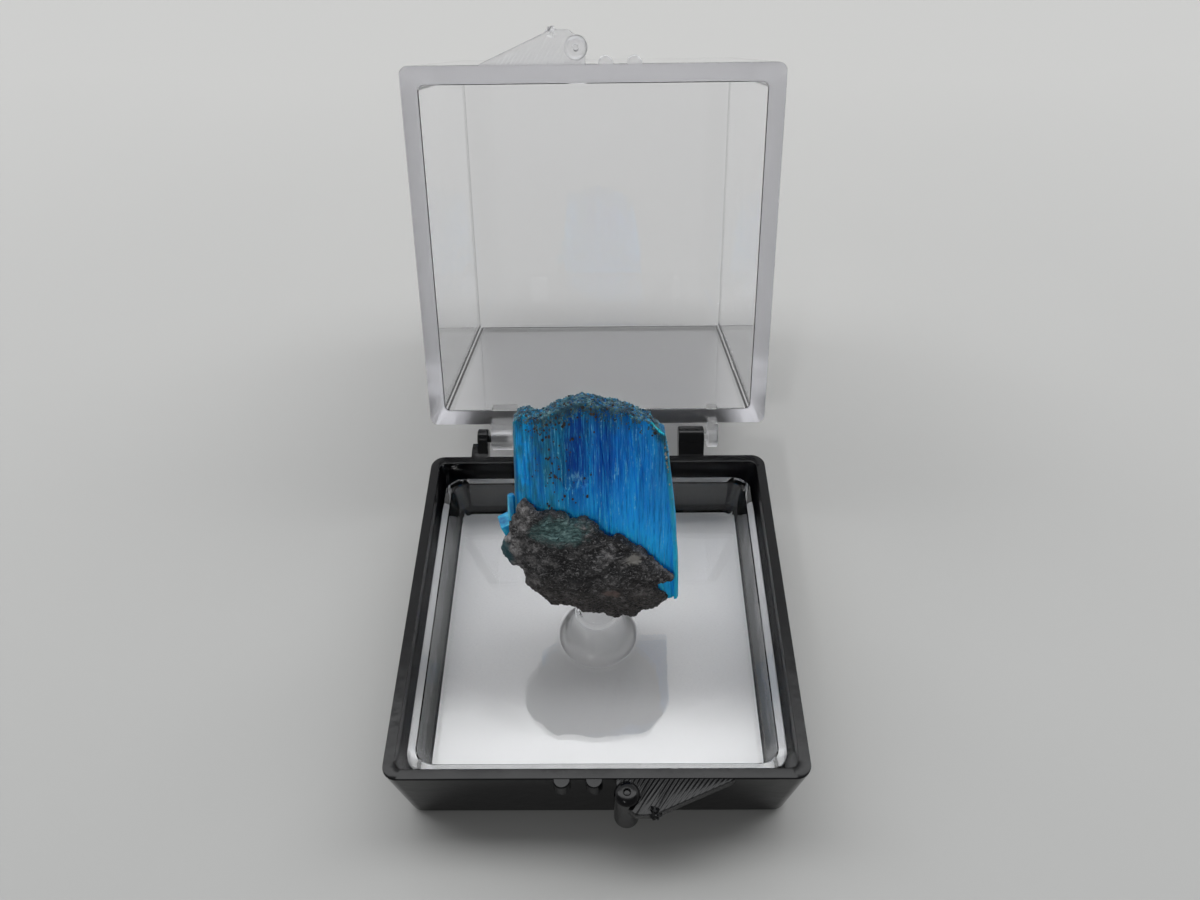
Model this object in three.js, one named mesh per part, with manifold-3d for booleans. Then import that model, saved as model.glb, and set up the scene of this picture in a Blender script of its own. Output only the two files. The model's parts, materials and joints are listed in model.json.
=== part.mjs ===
// Chalcanthite on its host rock, fixed on the pedestal of a hinged specimen box.
// Millimetres. +Z is up, +Y points from the latch to the hinge, and the origin is the centre
// of the box's underside. The lid stands open, its far edge just above the table.
import * as THREE from "three";
import { mergeVertices } from "three/addons/utils/BufferGeometryUtils.js";
import Module from "manifold-3d";

const wasm = await Module();
wasm.setup();

// Driving dimensions of the box
const RIM_HALF = 16.0; // half the outer width at the rim, base and lid alike
const RIM_SOFT = 0.1; // bevel along the rims
const CORNER = 1.2; // outer corner radius
const BASE_HEIGHT = 8.2; // underside to rim
const BASE_WALL = 0.8;
const BASE_FLOOR = 1.0;
const BASE_TAPER = 0.8; // how much each side comes in from rim to underside
const BASE_FOOT_BEVEL = 0.35;
const BASE_FILLET = 0.25; // where the inner walls meet the floor
const LID_DEPTH = 27.8; // rim to outside of the panel
const LID_WALL = 1.5; // at the rim
const LID_PANEL = 1.2;
const LID_TAPER = 0.5;
const LID_BEVEL = 0.38; // around the panel
const LID_FILLET = 0.3; // around the panel's inside
const RIM_GAP = 0.2; // between the rims when the box is closed
const OPEN_ANGLE = THREE.MathUtils.degToRad(113.3);

// Hinge: its axis runs along X behind the rim
const HINGE_Y = RIM_HALF + 1.68;
const HINGE_Z = BASE_HEIGHT + 0.7;
const PIN_RADIUS = 0.35;
const PIN_HOLE = 0.65;
const ARM_RADIUS = 0.95;
const ARM = [10.6, 11.6]; // span along X of the arm that carries a pin
const ARM_RUN = 2.6; // how far an arm's foot runs along the wall, from the rim
const PIN_TIP = 8.7;
const SOCKET_RADIUS = 1.1;
const SOCKET = [7.8, 10.25]; // span along X of the block that takes the pin
const SOCKET_RUN = 2.9;
const SOCKET_BOTTOM = 8.3; // where the pin hole ends
const FOOT_SINK = 0.6; // how far the feet reach into the wall
const FLARE = 0.6; // how much wider the base's arm is where it leaves the rim

// Latch: each half has a post on a thin tab, and two bumps that cradle the other half's post
const POST_RADIUS = 0.95;
const POST_OUT = 1.25; // from the rim's edge to the post's axis
const POST_ABOVE = 0.75;
const POST_BELOW = 3.9;
const POST_BEVEL = 0.35;
const POST_FOOT_BEVEL = 0.2;
const DIMPLE = 0.28; // radius of the dimple in the post's end
const DIMPLE_DEEP = 0.2;
const WEB_WIDE = 1.5; // the web that ties the post to the wall
const TAB_THICK = 0.8;
const BUMP_RADIUS = 0.65;
const BUMP_HEIGHT = 1.3;
const BUMP_STEP = 1.2; // from a post's axis to the bump on either side
const BASE_POST_X = 2.25;
const LID_POST_X = -1.35;
const NUB = 0.42; // the broken gate at the tab's tip
const NUB_PLACE = [1.5, 2.7, -0.5]; // along and out as for the tab, and up from the rim

// A tab seen from above: [along the rim from the post's axis, out from the rim's edge]
const TAB_OUTLINE = [
  [8.3, -0.4], [-0.7, -0.4], [-0.8, 1.25], [-0.2, 2.0], [0.7, 2.7], [1.7, 2.7], [7.7, 0.1],
];

// Clear tray with its pedestal, on a card that lines the base
const LAY_GAP = 0.1;
const CARD_THICK = 0.4;
const CARD_HALF = 14.0;
const CARD_CORNER = 0.6;
const TRAY_DROP = 1.75; // the tray's edge below the rim
const TRAY_HALF = 14.8;
const TRAY_TAPER = 0.6;
const TRAY_WALL = 0.8;
const TRAY_FLOOR = 0.9;
const TRAY_CORNER = 1.7;
const TRAY_FILLET = 0.4;
const PEDESTAL_DROP = 1.6; // the pedestal's top below the rim
const PEDESTAL_TOP = 2.1;
const PEDESTAL_FOOT = 2.65;
const PEDESTAL_FLARE = 0.3;
const PEDESTAL_SOFT = 0.12;
const PEDESTAL_WALL = 0.7;

// Specimen, in a frame of its own: x as in the box, z up the fibres, y into the specimen
// from its front face. The fibres lean back from the vertical.
const FIBRE_LEAN = THREE.MathUtils.degToRad(15);
const FACE_FOOT = new THREE.Vector3(0, -3, BASE_HEIGHT + 1);
const MASS_FOOT = 2.1; // height where the fibres start, away from the left edge
const MASS_HEAD = 20.0; // height at which the head's width is given
const MASS_FOOT_X = [-6.35, 6.65];
const MASS_HEAD_X = [-5.75, 4.85];
const MASS_DEPTH = 6.6;
const SIGHT_SLOPE = 0.645; // height lost per depth by a line that just clears the crest
const FIBRE_BEVEL = 0.16;
const FIBRE_LAP = 0.08; // how far neighbouring fibres run into each other

// Rows of fibres, front to back: depth, how far their ends lie below the crest, and widths
const FIBRE_ROWS = [
  { depth: [0, 1.5], drop: [1.05, 0.95], widths: [0.5, 1.05] },
  { depth: [1.2, 3.3], drop: [1.9, 3.7], widths: [1.3, 2.4] },
  { depth: [3.0, 5.2], drop: [3.9, 6.8], widths: [1.5, 2.6] },
  { depth: [4.9, MASS_DEPTH], drop: [7.2, 9.4], widths: [0.9, 1.7] },
];
const STEP_RANGE = [-0.22, 0.12]; // how far a front fibre's end is from its row's line
const FRONT_RANGE = [0, 0.26]; // how far a front fibre's face stands back
const BACK_RANGE = [-0.1, 0.3];
const FOOT_RANGE = [0.05, 0.2];

// Grains of the crust along the crest
const CRUST_GRAINS = 30;
const CRUST_DROP = 1.1; // below the crest
const CRUST_SPAN = [0.03, 0.97]; // share of the width
const CRUST_DEPTH = [0.25, 1.35];
const CRUST_SIZE = [0.2, 0.46];

// Two small crystals at the left edge: [x, height seen along the sight line, depth]
const BLOCK_PLACE = [-6.55, 10.4, 1.5];
const BLOCK_SIZE = [1.7, 1.5, 1.5];
const BLOCK_TURN = [0.3, 0.2]; // about Y, then about Z
const SLIVER_PLACE = [-6.35, 11.2, 0.8];
const SLIVER_RADII = [0.3, 0.42];
const SLIVER_LENGTH = 3.6;

// Crest of the mass across its width: [x, height]
const CREST = [
  [-6.4, 19.0], [-5.75, 19.6], [-5.0, 20.4], [-3.95, 20.1], [-2.7, 20.7], [-1.0, 21.45],
  [-0.2, 21.4], [0.5, 21.0], [1.8, 20.9], [3.3, 19.9], [4.05, 19.75], [4.7, 18.9],
  [5.1, 18.3], [5.35, 17.2], [6.7, 15.0],
];

// Where the fibres start near the left edge, inside the rock: [x, height]
const MASS_START = [
  [-6.4, 8.6], [-5.9, 6.4], [-5.3, 4.6], [-4.4, 3.3], [-2.6, 2.5], [0.5, MASS_FOOT], [7, MASS_FOOT],
];

// The rock's outline: [x, height seen along the sight line, depth]
const ROCK_OUTLINE = [
  [6.05, 4.55, -0.5], [5.2, 5.7, -0.45], [4.4, 6.5, -0.45], [2.8, 7.7, -0.4], [1.8, 8.7, -0.4],
  [0.7, 8.9, -0.4], [-0.2, 10.05, -0.4], [-1.8, 10.2, -0.4], [-2.4, 10.9, -0.4],
  [-4.4, 10.95, -0.4], [-4.7, 11.8, -0.4], [-5.35, 12.3, -0.35], [-5.9, 11.0, -0.2],
  [-6.5, 10.6, 0.4], [-6.9, 9.6, 0.9], [-6.9, 8.7, 1.1], [-7.2, 8.2, 1.2], [-7.2, 7.3, 1.3],
  [-6.9, 6.1, 1.5], [-5.8, 5.2, 1.8], [-5.5, 3.4, 2.0], [-4.8, 2.6, 2.1], [-3.9, 1.55, 2.3],
  [-2.2, 1.3, 2.4], [-1.1, 0.9, 2.4], [0.3, 0.4, 2.5], [1.6, -0.1, 2.6], [2.4, 0.35, 2.6],
  [3.15, -0.1, 2.5], [3.95, 0.55, 2.1], [5.3, 2.0, 1.2], [5.65, 2.55, 0.6], [4.5, 3.9, -0.3],
];
const ROCK_POINTS = 44; // around each ring of the lens
const ROCK_FRONT = [-0.6, 4.6, -1.75]; // the lens's poles, as the outline's points
const ROCK_BACK = [-0.3, 4.9, 6.0];
const ROCK_RINGS = [-0.84, -0.6, -0.38, -0.18, 0, 0.22, 0.45, 0.68, 0.86]; // back pole -1, front 1
const ROCK_ROUGH = 0.2;
const OUTLINE_ROUGH = 0.06;
const ROCK_LUMPS = 36;
const LUMP_SIZE = [0.7, 1.5];
const LUMP_SINK = 0.12; // into the front
const LUMP_LIFT = 0.3; // out of the back
const ROCK_GAP = 0.3; // between the rock and the mass
const ROCK_SEAT = 0.12; // the rock's lowest spot above the pedestal

const PLASTIC_BLACK = { color: 0x101012, roughness: 0.22, metalness: 0 };
const PLASTIC_CLEAR = { color: 0xe6e6f0, roughness: 0.08, transparent: true, opacity: 0.3 };
const CARD_PALE = { color: 0xc8c8c4, roughness: 0.8, metalness: 0 };
const CRYSTAL_BLUE = { color: 0x0a6fc0, roughness: 0.35, metalness: 0 };
const ROCK_DARK = { color: 0x3c3c3c, roughness: 0.95, metalness: 0 };

// Solids

function solidOf(geometry) {
  const plain = geometry.clone();
  plain.deleteAttribute("normal");
  plain.deleteAttribute("uv");
  const merged = mergeVertices(plain, 1e-4);
  const mesh = new wasm.Mesh({
    numProp: 3,
    vertProperties: Float32Array.from(merged.attributes.position.array),
    triVerts: Uint32Array.from(merged.index.array),
  });
  return new wasm.Manifold(mesh);
}

function geometryOf(solid) {
  const mesh = solid.getMesh();
  const points = new Float32Array(mesh.numVert * 3);
  for (let i = 0; i < mesh.numVert; i++) {
    points.set(mesh.vertProperties.subarray(i * mesh.numProp, i * mesh.numProp + 3), i * 3);
  }
  const indexed = new THREE.BufferGeometry();
  indexed.setAttribute("position", new THREE.BufferAttribute(points, 3));
  indexed.setIndex(new THREE.BufferAttribute(Uint32Array.from(mesh.triVerts), 1));
  const flat = indexed.toNonIndexed();
  flat.computeVertexNormals();
  return flat;
}

function joined(geometries) {
  return geometries.map(solidOf).reduce((all, next) => all.add(next));
}

function largestBody(solid) {
  return solid.decompose().reduce((a, b) => (a.volume() > b.volume() ? a : b));
}

function meshOf(name, solid, finish) {
  const mesh = new THREE.Mesh(geometryOf(solid), new THREE.MeshStandardMaterial(finish));
  mesh.name = name;
  return mesh;
}

// A closed skin through rings of points, each ring anticlockwise seen from the last one's side.
function skinOf(rings) {
  const count = rings[0].length;
  const points = [];
  rings.forEach((ring) => ring.forEach((p) => points.push(...p)));
  const middle = (ring) => [0, 1, 2].map((k) => ring.reduce((sum, p) => sum + p[k], 0) / count);
  points.push(...middle(rings[0]), ...middle(rings.at(-1)));
  const first = rings.length * count;
  const faces = [];
  for (let r = 0; r + 1 < rings.length; r++) {
    for (let i = 0; i < count; i++) {
      const a = r * count + i;
      const b = r * count + ((i + 1) % count);
      faces.push(a, b, b + count, a, b + count, a + count);
    }
  }
  const last = (rings.length - 1) * count;
  for (let i = 0; i < count; i++) {
    const next = (i + 1) % count;
    faces.push(first, next, i, first + 1, last + i, last + next);
  }
  const geometry = new THREE.BufferGeometry();
  geometry.setAttribute("position", new THREE.Float32BufferAttribute(points, 3));
  geometry.setIndex(faces);
  return geometry;
}

// A square ring with round corners, at height z.
function squareRing(half, radius, z) {
  const steps = 4;
  const ring = [];
  for (let corner = 0; corner < 4; corner++) {
    for (let s = 0; s <= steps; s++) {
      const angle = (corner + s / steps) * (Math.PI / 2);
      const sx = corner === 0 || corner === 3 ? 1 : -1;
      const sy = corner < 2 ? 1 : -1;
      ring.push([
        sx * (half - radius) + radius * Math.cos(angle),
        sy * (half - radius) + radius * Math.sin(angle),
        z,
      ]);
    }
  }
  return ring;
}

// A plate with the outline given in X and Y, from height low to high.
function plate(outline, low, high) {
  const shape = new THREE.Shape(outline.map(([x, y]) => new THREE.Vector2(x, y)));
  const made = new THREE.ExtrudeGeometry(shape, { depth: high - low, bevelEnabled: false });
  return made.translate(0, 0, low);
}

// A plate standing across X, with its outline given in Y and Z.
function crossPlate(outline, fromX, toX) {
  const turn = new THREE.Matrix4().makeBasis(
    new THREE.Vector3(0, 1, 0),
    new THREE.Vector3(0, 0, 1),
    new THREE.Vector3(1, 0, 0),
  );
  return plate(outline, fromX, toX).applyMatrix4(turn);
}

function rodAlongX(radius, fromX, toX, sides = 16) {
  const rod = new THREE.CylinderGeometry(radius, radius, toX - fromX, sides);
  rod.rotateZ(Math.PI / 2);
  return rod.translate((fromX + toX) / 2, 0, 0);
}

// A profile of [radius, height] points turned about the Z axis.
function turned(profile, sides) {
  const points = profile.map(([r, z]) => new THREE.Vector2(r, z));
  return new THREE.LatheGeometry(points, sides).rotateX(Math.PI / 2);
}

// Latch of one half, along the rim whose outer edge is y = -RIM_HALF and whose level is z = 0.
// The walls go down from the rim, as on the base, and the tab runs to +X from the post.
function latchParts(postX) {
  const wall = -RIM_HALF;
  const post = turned([
    [0, -POST_BELOW],
    [POST_RADIUS - POST_FOOT_BEVEL / 2, -POST_BELOW],
    [POST_RADIUS, -POST_BELOW + POST_FOOT_BEVEL],
    [POST_RADIUS, POST_ABOVE - POST_BEVEL],
    [POST_RADIUS - POST_BEVEL, POST_ABOVE],
    [DIMPLE, POST_ABOVE],
    [DIMPLE * 0.75, POST_ABOVE - DIMPLE_DEEP],
    [0, POST_ABOVE - DIMPLE_DEEP],
  ], 18);
  const tab = TAB_OUTLINE.map(([along, out]) => [postX + along, wall - out]);
  const webDeep = POST_OUT + BASE_WALL / 2;
  const webHigh = POST_BELOW - POST_FOOT_BEVEL;
  const web = new THREE.BoxGeometry(WEB_WIDE, webDeep, webHigh);
  const [along, out, up] = NUB_PLACE;
  return [
    post.translate(postX, wall - POST_OUT, 0),
    plate(tab, -TAB_THICK, 0),
    web.translate(postX, wall + BASE_WALL / 2 - webDeep / 2, -webHigh / 2),
    new THREE.DodecahedronGeometry(NUB, 0).translate(postX + along, wall - out, up),
  ];
}

// The two bumps that take the other half's post between them.
function bumpParts(otherPostX) {
  return [-BUMP_STEP, BUMP_STEP].map((step) => {
    const bump = new THREE.CylinderGeometry(BUMP_RADIUS, BUMP_RADIUS, BUMP_HEIGHT, 14);
    bump.rotateX(Math.PI / 2);
    return bump.translate(otherPostX + step, -RIM_HALF, -BUMP_HEIGHT / 2);
  });
}

// The foot that ties a hinge part to its wall, in Y and Z from the hinge axis. up is 1 where
// the wall goes up from the rim. The foot keeps to its own side of the rim until it is clear
// of the other half's wall.
function hingeFoot(rimZ, up, radius, run) {
  const inWall = RIM_HALF - FOOT_SINK - HINGE_Y;
  const pastWall = RIM_HALF + RIM_SOFT - HINGE_Y;
  const nearRim = rimZ + up * 0.05;
  return [
    [inWall, nearRim],
    [pastWall, nearRim],
    [-radius * 0.94, -up * radius * 0.3],
    [radius * 0.95, -up * radius * 0.2],
    [radius * 0.74, up * radius * 0.75],
    [inWall, rimZ + up * run],
  ];
}

// Hinge parts of one half, with the hinge axis on the X axis. side is the sign of X of the arm,
// and the socket is on the other side.
function hingeParts(side, rimZ, up) {
  const span = (a, b) => [a, b].sort((p, q) => p - q);
  const arm = span(side * ARM[0], side * ARM[1]);
  const socket = span(-side * SOCKET[0], -side * SOCKET[1]);
  return [
    rodAlongX(ARM_RADIUS, ...arm),
    crossPlate(hingeFoot(rimZ, up, ARM_RADIUS, ARM_RUN), ...arm),
    rodAlongX(PIN_RADIUS, ...span(side * PIN_TIP, side * (ARM[0] + 0.3)), 12),
    rodAlongX(SOCKET_RADIUS, ...socket),
    crossPlate(hingeFoot(rimZ, up, SOCKET_RADIUS, SOCKET_RUN), ...socket),
  ];
}

// The hole for the other half's pin. side is the sign of X of the socket.
function pinHole(side) {
  const [near, far] = [side * SOCKET_BOTTOM, side * (SOCKET[1] + 1)].sort((a, b) => a - b);
  return rodAlongX(PIN_HOLE, near, far, 12);
}

// The black base, with the latch in front and the hinge arm and socket behind.
function baseSolid() {
  const top = BASE_HEIGHT;
  const inset = (z) => BASE_TAPER * (1 - z / top);
  const outer = skinOf([
    squareRing(RIM_HALF - BASE_TAPER - BASE_FOOT_BEVEL, CORNER, 0),
    squareRing(RIM_HALF - inset(BASE_FOOT_BEVEL), CORNER, BASE_FOOT_BEVEL),
    squareRing(RIM_HALF, CORNER, top - RIM_SOFT),
    squareRing(RIM_HALF - RIM_SOFT, CORNER, top),
  ]);
  const wallIn = (z) => RIM_HALF - inset(z) - BASE_WALL;
  const fillet = BASE_FLOOR + BASE_FILLET;
  const inner = skinOf([
    squareRing(wallIn(BASE_FLOOR) - BASE_FILLET, CORNER / 2, BASE_FLOOR),
    squareRing(wallIn(fillet), CORNER / 2, fillet),
    squareRing(wallIn(top), CORNER / 2, top + 1),
  ]);
  const rimZ = BASE_HEIGHT - HINGE_Z;
  const flare = crossPlate([
    [RIM_HALF - FOOT_SINK - HINGE_Y, rimZ],
    [-ARM_RADIUS, rimZ + RIM_GAP],
    [0, rimZ],
    [RIM_HALF - FOOT_SINK - HINGE_Y, rimZ - ARM_RUN],
  ], -ARM[1] - FLARE, -ARM[0]);
  const bodies = [
    solidOf(outer),
    ...[...latchParts(BASE_POST_X), ...bumpParts(LID_POST_X)]
      .map((part) => solidOf(part.translate(0, 0, top))),
    ...[...hingeParts(-1, rimZ, -1), flare]
      .map((part) => solidOf(part.translate(0, HINGE_Y, HINGE_Z))),
  ];
  return bodies
    .reduce((all, next) => all.add(next))
    .subtract(solidOf(inner))
    .subtract(solidOf(pinHole(1).translate(0, HINGE_Y, HINGE_Z)));
}

// The clear lid as it lies when closed, with its hinge axis on the X axis.
function lidSolid() {
  const half = (z) => RIM_HALF - (LID_TAPER * z) / LID_DEPTH;
  const outer = skinOf([
    squareRing(half(0) - RIM_SOFT, CORNER, 0),
    squareRing(half(0), CORNER, RIM_SOFT),
    squareRing(half(LID_DEPTH - LID_BEVEL), CORNER, LID_DEPTH - LID_BEVEL),
    squareRing(half(LID_DEPTH) - LID_BEVEL, CORNER, LID_DEPTH),
  ]);
  const ceiling = LID_DEPTH - LID_PANEL;
  const hollow = RIM_HALF - LID_WALL;
  const inner = skinOf([
    squareRing(hollow, CORNER * 0.6, -1),
    squareRing(hollow - RIM_SOFT, CORNER * 0.6, ceiling - LID_FILLET),
    squareRing(hollow - RIM_SOFT - LID_FILLET, CORNER * 0.6, ceiling),
  ]);
  const rimY = -HINGE_Y;
  const rimZ = BASE_HEIGHT + RIM_GAP - HINGE_Z;
  const latch = [...latchParts(-LID_POST_X), ...bumpParts(-BASE_POST_X)];
  const bodies = [
    solidOf(outer.translate(0, rimY, rimZ)),
    ...latch.map((part) => solidOf(part.rotateY(Math.PI).translate(0, rimY, rimZ))),
    ...hingeParts(1, rimZ, 1).map(solidOf),
  ];
  return bodies
    .reduce((all, next) => all.add(next))
    .subtract(solidOf(inner.translate(0, rimY, rimZ)))
    .subtract(solidOf(pinHole(-1)));
}

// The clear tray, whose pedestal is a hollow cone moulded up from its floor.
function traySolid() {
  const low = BASE_FLOOR + CARD_THICK + 2 * LAY_GAP;
  const high = BASE_HEIGHT - TRAY_DROP;
  const floor = low + TRAY_FLOOR;
  const crown = BASE_HEIGHT - PEDESTAL_DROP;
  const half = (z) => TRAY_HALF - (TRAY_TAPER * (high - z)) / (high - low);
  const outer = skinOf([
    squareRing(half(low) - TRAY_FILLET, TRAY_CORNER, low),
    squareRing(half(low + TRAY_FILLET), TRAY_CORNER, low + TRAY_FILLET),
    squareRing(half(high) - RIM_SOFT, TRAY_CORNER, high - RIM_SOFT),
    squareRing(half(high) - 2 * RIM_SOFT, TRAY_CORNER, high),
  ]);
  const inner = skinOf([
    squareRing(half(floor) - TRAY_WALL - TRAY_FILLET, TRAY_CORNER - TRAY_WALL / 2, floor),
    squareRing(half(floor + TRAY_FILLET) - TRAY_WALL, TRAY_CORNER - TRAY_WALL / 2, floor + TRAY_FILLET),
    squareRing(half(high) - TRAY_WALL, TRAY_CORNER - TRAY_WALL / 2, high + 1),
  ]);
  const cone = turned([
    [0, floor - TRAY_FLOOR / 2],
    [PEDESTAL_FOOT + PEDESTAL_FLARE, floor - TRAY_FLOOR / 2],
    [PEDESTAL_FOOT + PEDESTAL_FLARE, floor],
    [PEDESTAL_FOOT, floor + PEDESTAL_FLARE],
    [PEDESTAL_TOP, crown - PEDESTAL_SOFT],
    [PEDESTAL_TOP - PEDESTAL_SOFT, crown],
    [0, crown],
  ], 28);
  const hollow = turned([
    [0, low - 1],
    [PEDESTAL_FOOT - PEDESTAL_WALL, low - 1],
    [PEDESTAL_FOOT - PEDESTAL_WALL, floor],
    [PEDESTAL_TOP - PEDESTAL_WALL, crown - PEDESTAL_WALL],
    [0, crown - PEDESTAL_WALL],
  ], 28);
  return solidOf(outer).subtract(solidOf(inner)).add(solidOf(cone)).subtract(solidOf(hollow));
}

function cardSolid() {
  const low = BASE_FLOOR + LAY_GAP;
  const ring = (z) => squareRing(CARD_HALF, CARD_CORNER, z);
  return solidOf(skinOf([ring(low), ring(low + CARD_THICK)]));
}

// Specimen

// A small repeatable random source, so that every run grows the same specimen.
function randomSource(seed) {
  let state = seed >>> 0;
  return (low = 0, high = 1) => {
    state = (state + 0x6d2b79f5) >>> 0;
    let t = Math.imul(state ^ (state >>> 15), 1 | state);
    t = (t + Math.imul(t ^ (t >>> 7), 61 | t)) ^ t;
    return low + (((t ^ (t >>> 14)) >>> 0) / 4294967296) * (high - low);
  };
}

// The height of a line of [x, height] points at x.
function heightAt(line, x) {
  const right = line.findIndex(([cx]) => cx >= x);
  if (right <= 0) {
    return line.at(right === 0 ? 0 : -1)[1];
  }
  const [x0, z0] = line[right - 1];
  const [x1, z1] = line[right];
  return z0 + ((x - x0) / (x1 - x0)) * (z1 - z0);
}

// A point seen at x and at a height along the sight line, at its real height for its depth.
function onSight([x, seen, depth]) {
  return [x, depth, seen - SIGHT_SLOPE * depth];
}

// Where a share 0 to 1 of the width lies at a height: the fibres fan out towards the foot.
function fanX(share, z) {
  const t = (z - MASS_FOOT) / (MASS_HEAD - MASS_FOOT);
  const left = THREE.MathUtils.lerp(MASS_FOOT_X[0], MASS_HEAD_X[0], t);
  const right = THREE.MathUtils.lerp(MASS_FOOT_X[1], MASS_HEAD_X[1], t);
  return THREE.MathUtils.lerp(left, right, share);
}

// One fibre: a long prism with bevelled front edges, its end cut on a slant. share and width
// are shares of the mass's width.
function fibre(share, width, front, back, headFront, headBack, foot) {
  const bevel = Math.min(FIBRE_BEVEL, (width * (MASS_FOOT_X[1] - MASS_FOOT_X[0])) / 4);
  const section = [
    [-0.5, front + bevel, 0], [-0.5, front, 1], [0.5, front, -1], [0.5, front + bevel, 0],
    [0.5, back, -0.6], [-0.5, back, 0.6],
  ];
  const ring = (heightOf) => section.map(([side, y, inward]) => {
    const z = heightOf(share + side * width, y);
    return [fanX(share + side * width, z) + inward * bevel, y, z];
  });
  return skinOf([
    ring((part) => heightAt(MASS_START, fanX(part, MASS_FOOT)) + foot),
    ring((part, y) => THREE.MathUtils.mapLinear(y, front, back, headFront, headBack)),
  ]);
}

// The two small crystals at the left edge, grown on every side by an amount.
function sideCrystals(grow) {
  const block = new THREE.BoxGeometry(...BLOCK_SIZE.map((size) => size + 2 * grow));
  block.rotateY(BLOCK_TURN[0]).rotateZ(BLOCK_TURN[1]);
  const [head, foot] = SLIVER_RADII.map((radius) => radius + grow);
  const sliver = new THREE.CylinderGeometry(head, foot, SLIVER_LENGTH + 2 * grow, 6);
  sliver.rotateX(Math.PI / 2);
  return [block.translate(...onSight(BLOCK_PLACE)), sliver.translate(...onSight(SLIVER_PLACE))];
}

// The blue mass: rows of fibres behind one another, each row's ends lower than the last's,
// a grainy crust along the crest and two small crystals on the left.
function crystalSolid() {
  const random = randomSource(41);
  const parts = [];
  const span = MASS_FOOT_X[1] - MASS_FOOT_X[0];
  FIBRE_ROWS.forEach((row, index) => {
    let x = 0;
    while (x < span - FRONT_RANGE[1]) {
      const wide = Math.min(random(...row.widths), span - x);
      const share = (x + wide / 2) / span;
      const crest = heightAt(CREST, fanX(share, MASS_HEAD));
      const step = random(...STEP_RANGE) * (index + 1);
      const front = row.depth[0] + (index === 0 ? random(...FRONT_RANGE) : 0);
      const back = row.depth[1] + random(...BACK_RANGE);
      const foot = random(...FOOT_RANGE);
      parts.push(fibre(share, (wide + FIBRE_LAP) / span, front, back,
        crest - row.drop[0] + step, crest - row.drop[1] + step, foot));
      x += wide;
    }
  });
  for (let i = 0; i < CRUST_GRAINS; i++) {
    const x = fanX(random(...CRUST_SPAN), MASS_HEAD);
    const y = random(...CRUST_DEPTH);
    const size = random(...CRUST_SIZE);
    const grain = new THREE.IcosahedronGeometry(size, 0);
    grain.rotateX(random(0, Math.PI)).rotateY(random(0, Math.PI));
    parts.push(grain.translate(x, y, heightAt(CREST, x) - CRUST_DROP + size / 4));
  }
  return joined([...parts, ...sideCrystals(0)]);
}

// The space that the rock leaves for the blue mass.
function crystalSocket() {
  const starts = MASS_START.map(([x, z]) => new THREE.Vector2(x, z - ROCK_GAP));
  starts[0].x -= ROCK_GAP;
  const front = new THREE.Shape([
    ...starts,
    new THREE.Vector2(starts.at(-1).x, MASS_HEAD),
    new THREE.Vector2(fanX(0, MASS_HEAD) - ROCK_GAP, MASS_HEAD),
  ]);
  const deep = MASS_DEPTH + BACK_RANGE[1] + 2 * ROCK_GAP;
  const mass = new THREE.ExtrudeGeometry(front, { depth: deep, bevelEnabled: false });
  mass.rotateX(Math.PI / 2).translate(0, deep - ROCK_GAP, 0);
  return joined([mass, ...sideCrystals(ROCK_GAP)]);
}

// Points along a closed outline at even distances.
function evenLoop(outline, count) {
  const loop = outline.map((p) => new THREE.Vector3(...p));
  const curve = new THREE.CurvePath();
  loop.forEach((p, i) => curve.add(new THREE.LineCurve3(p, loop[(i + 1) % loop.length])));
  return Array.from({ length: count }, (unused, i) => curve.getPointAt(i / count).toArray());
}

// A point of the rock's lens: an outline point drawn a share 0 to 1 of the way to a pole.
function lensPoint([x, seen, depth], pole, share) {
  const flat = Math.cos((share * Math.PI) / 2);
  const deep = Math.sin((share * Math.PI) / 2);
  return onSight([
    pole[0] + (x - pole[0]) * flat,
    pole[1] + (seen - pole[1]) * flat,
    depth + (pole[2] - depth) * deep,
  ]);
}

// The host rock: a lens over its outline, bulged in front and behind, with blocky lumps
// broken out of its skin.
function rockParts() {
  const random = randomSource(97);
  const loop = evenLoop(ROCK_OUTLINE, ROCK_POINTS);
  const lens = skinOf(ROCK_RINGS.map((ring) => loop.map((point) => {
    const pole = ring < 0 ? ROCK_BACK : ROCK_FRONT;
    const rough = ring === 0 ? OUTLINE_ROUGH : ROCK_ROUGH;
    return lensPoint(point, pole, Math.abs(ring)).map((value) => value + random(-rough, rough));
  })));
  const parts = [lens];
  for (let i = 0; i < ROCK_LUMPS; i++) {
    const front = i % 3 !== 0;
    const share = front ? random(0.2, 0.95) : random(0.1, 0.7);
    const start = loop[Math.floor(random(0, loop.length))];
    const [x, y, z] = lensPoint(start, front ? ROCK_FRONT : ROCK_BACK, share);
    const size = random(...LUMP_SIZE);
    const lump = new THREE.BoxGeometry(size * random(0.8, 1.6), size * 0.7, size * random(0.5, 1));
    lump.rotateX(random(-0.6, 0.6)).rotateY(random(-1, 1)).rotateZ(random(-0.5, 0.5));
    parts.push(lump.translate(x * 0.96, y + (front ? LUMP_SINK : -LUMP_LIFT), z + 0.1));
  }
  return parts;
}

const specimenPlace = new THREE.Matrix4()
  .makeRotationX(-FIBRE_LEAN)
  .setPosition(FACE_FOOT);

// The rock in the box's own frame, cut level where it stands on the pedestal.
function rockSolid() {
  const rock = joined(rockParts().map((part) => part.applyMatrix4(specimenPlace)));
  const socket = solidOf(geometryOf(crystalSocket()).applyMatrix4(specimenPlace));
  const seat = BASE_HEIGHT - PEDESTAL_DROP + ROCK_SEAT;
  const below = new THREE.BoxGeometry(40, 40, 10).translate(0, 0, seat - 5);
  return largestBody(rock.subtract(socket).subtract(solidOf(below)));
}

// The whole thing

const chalcanthiteBox = new THREE.Group();

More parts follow.
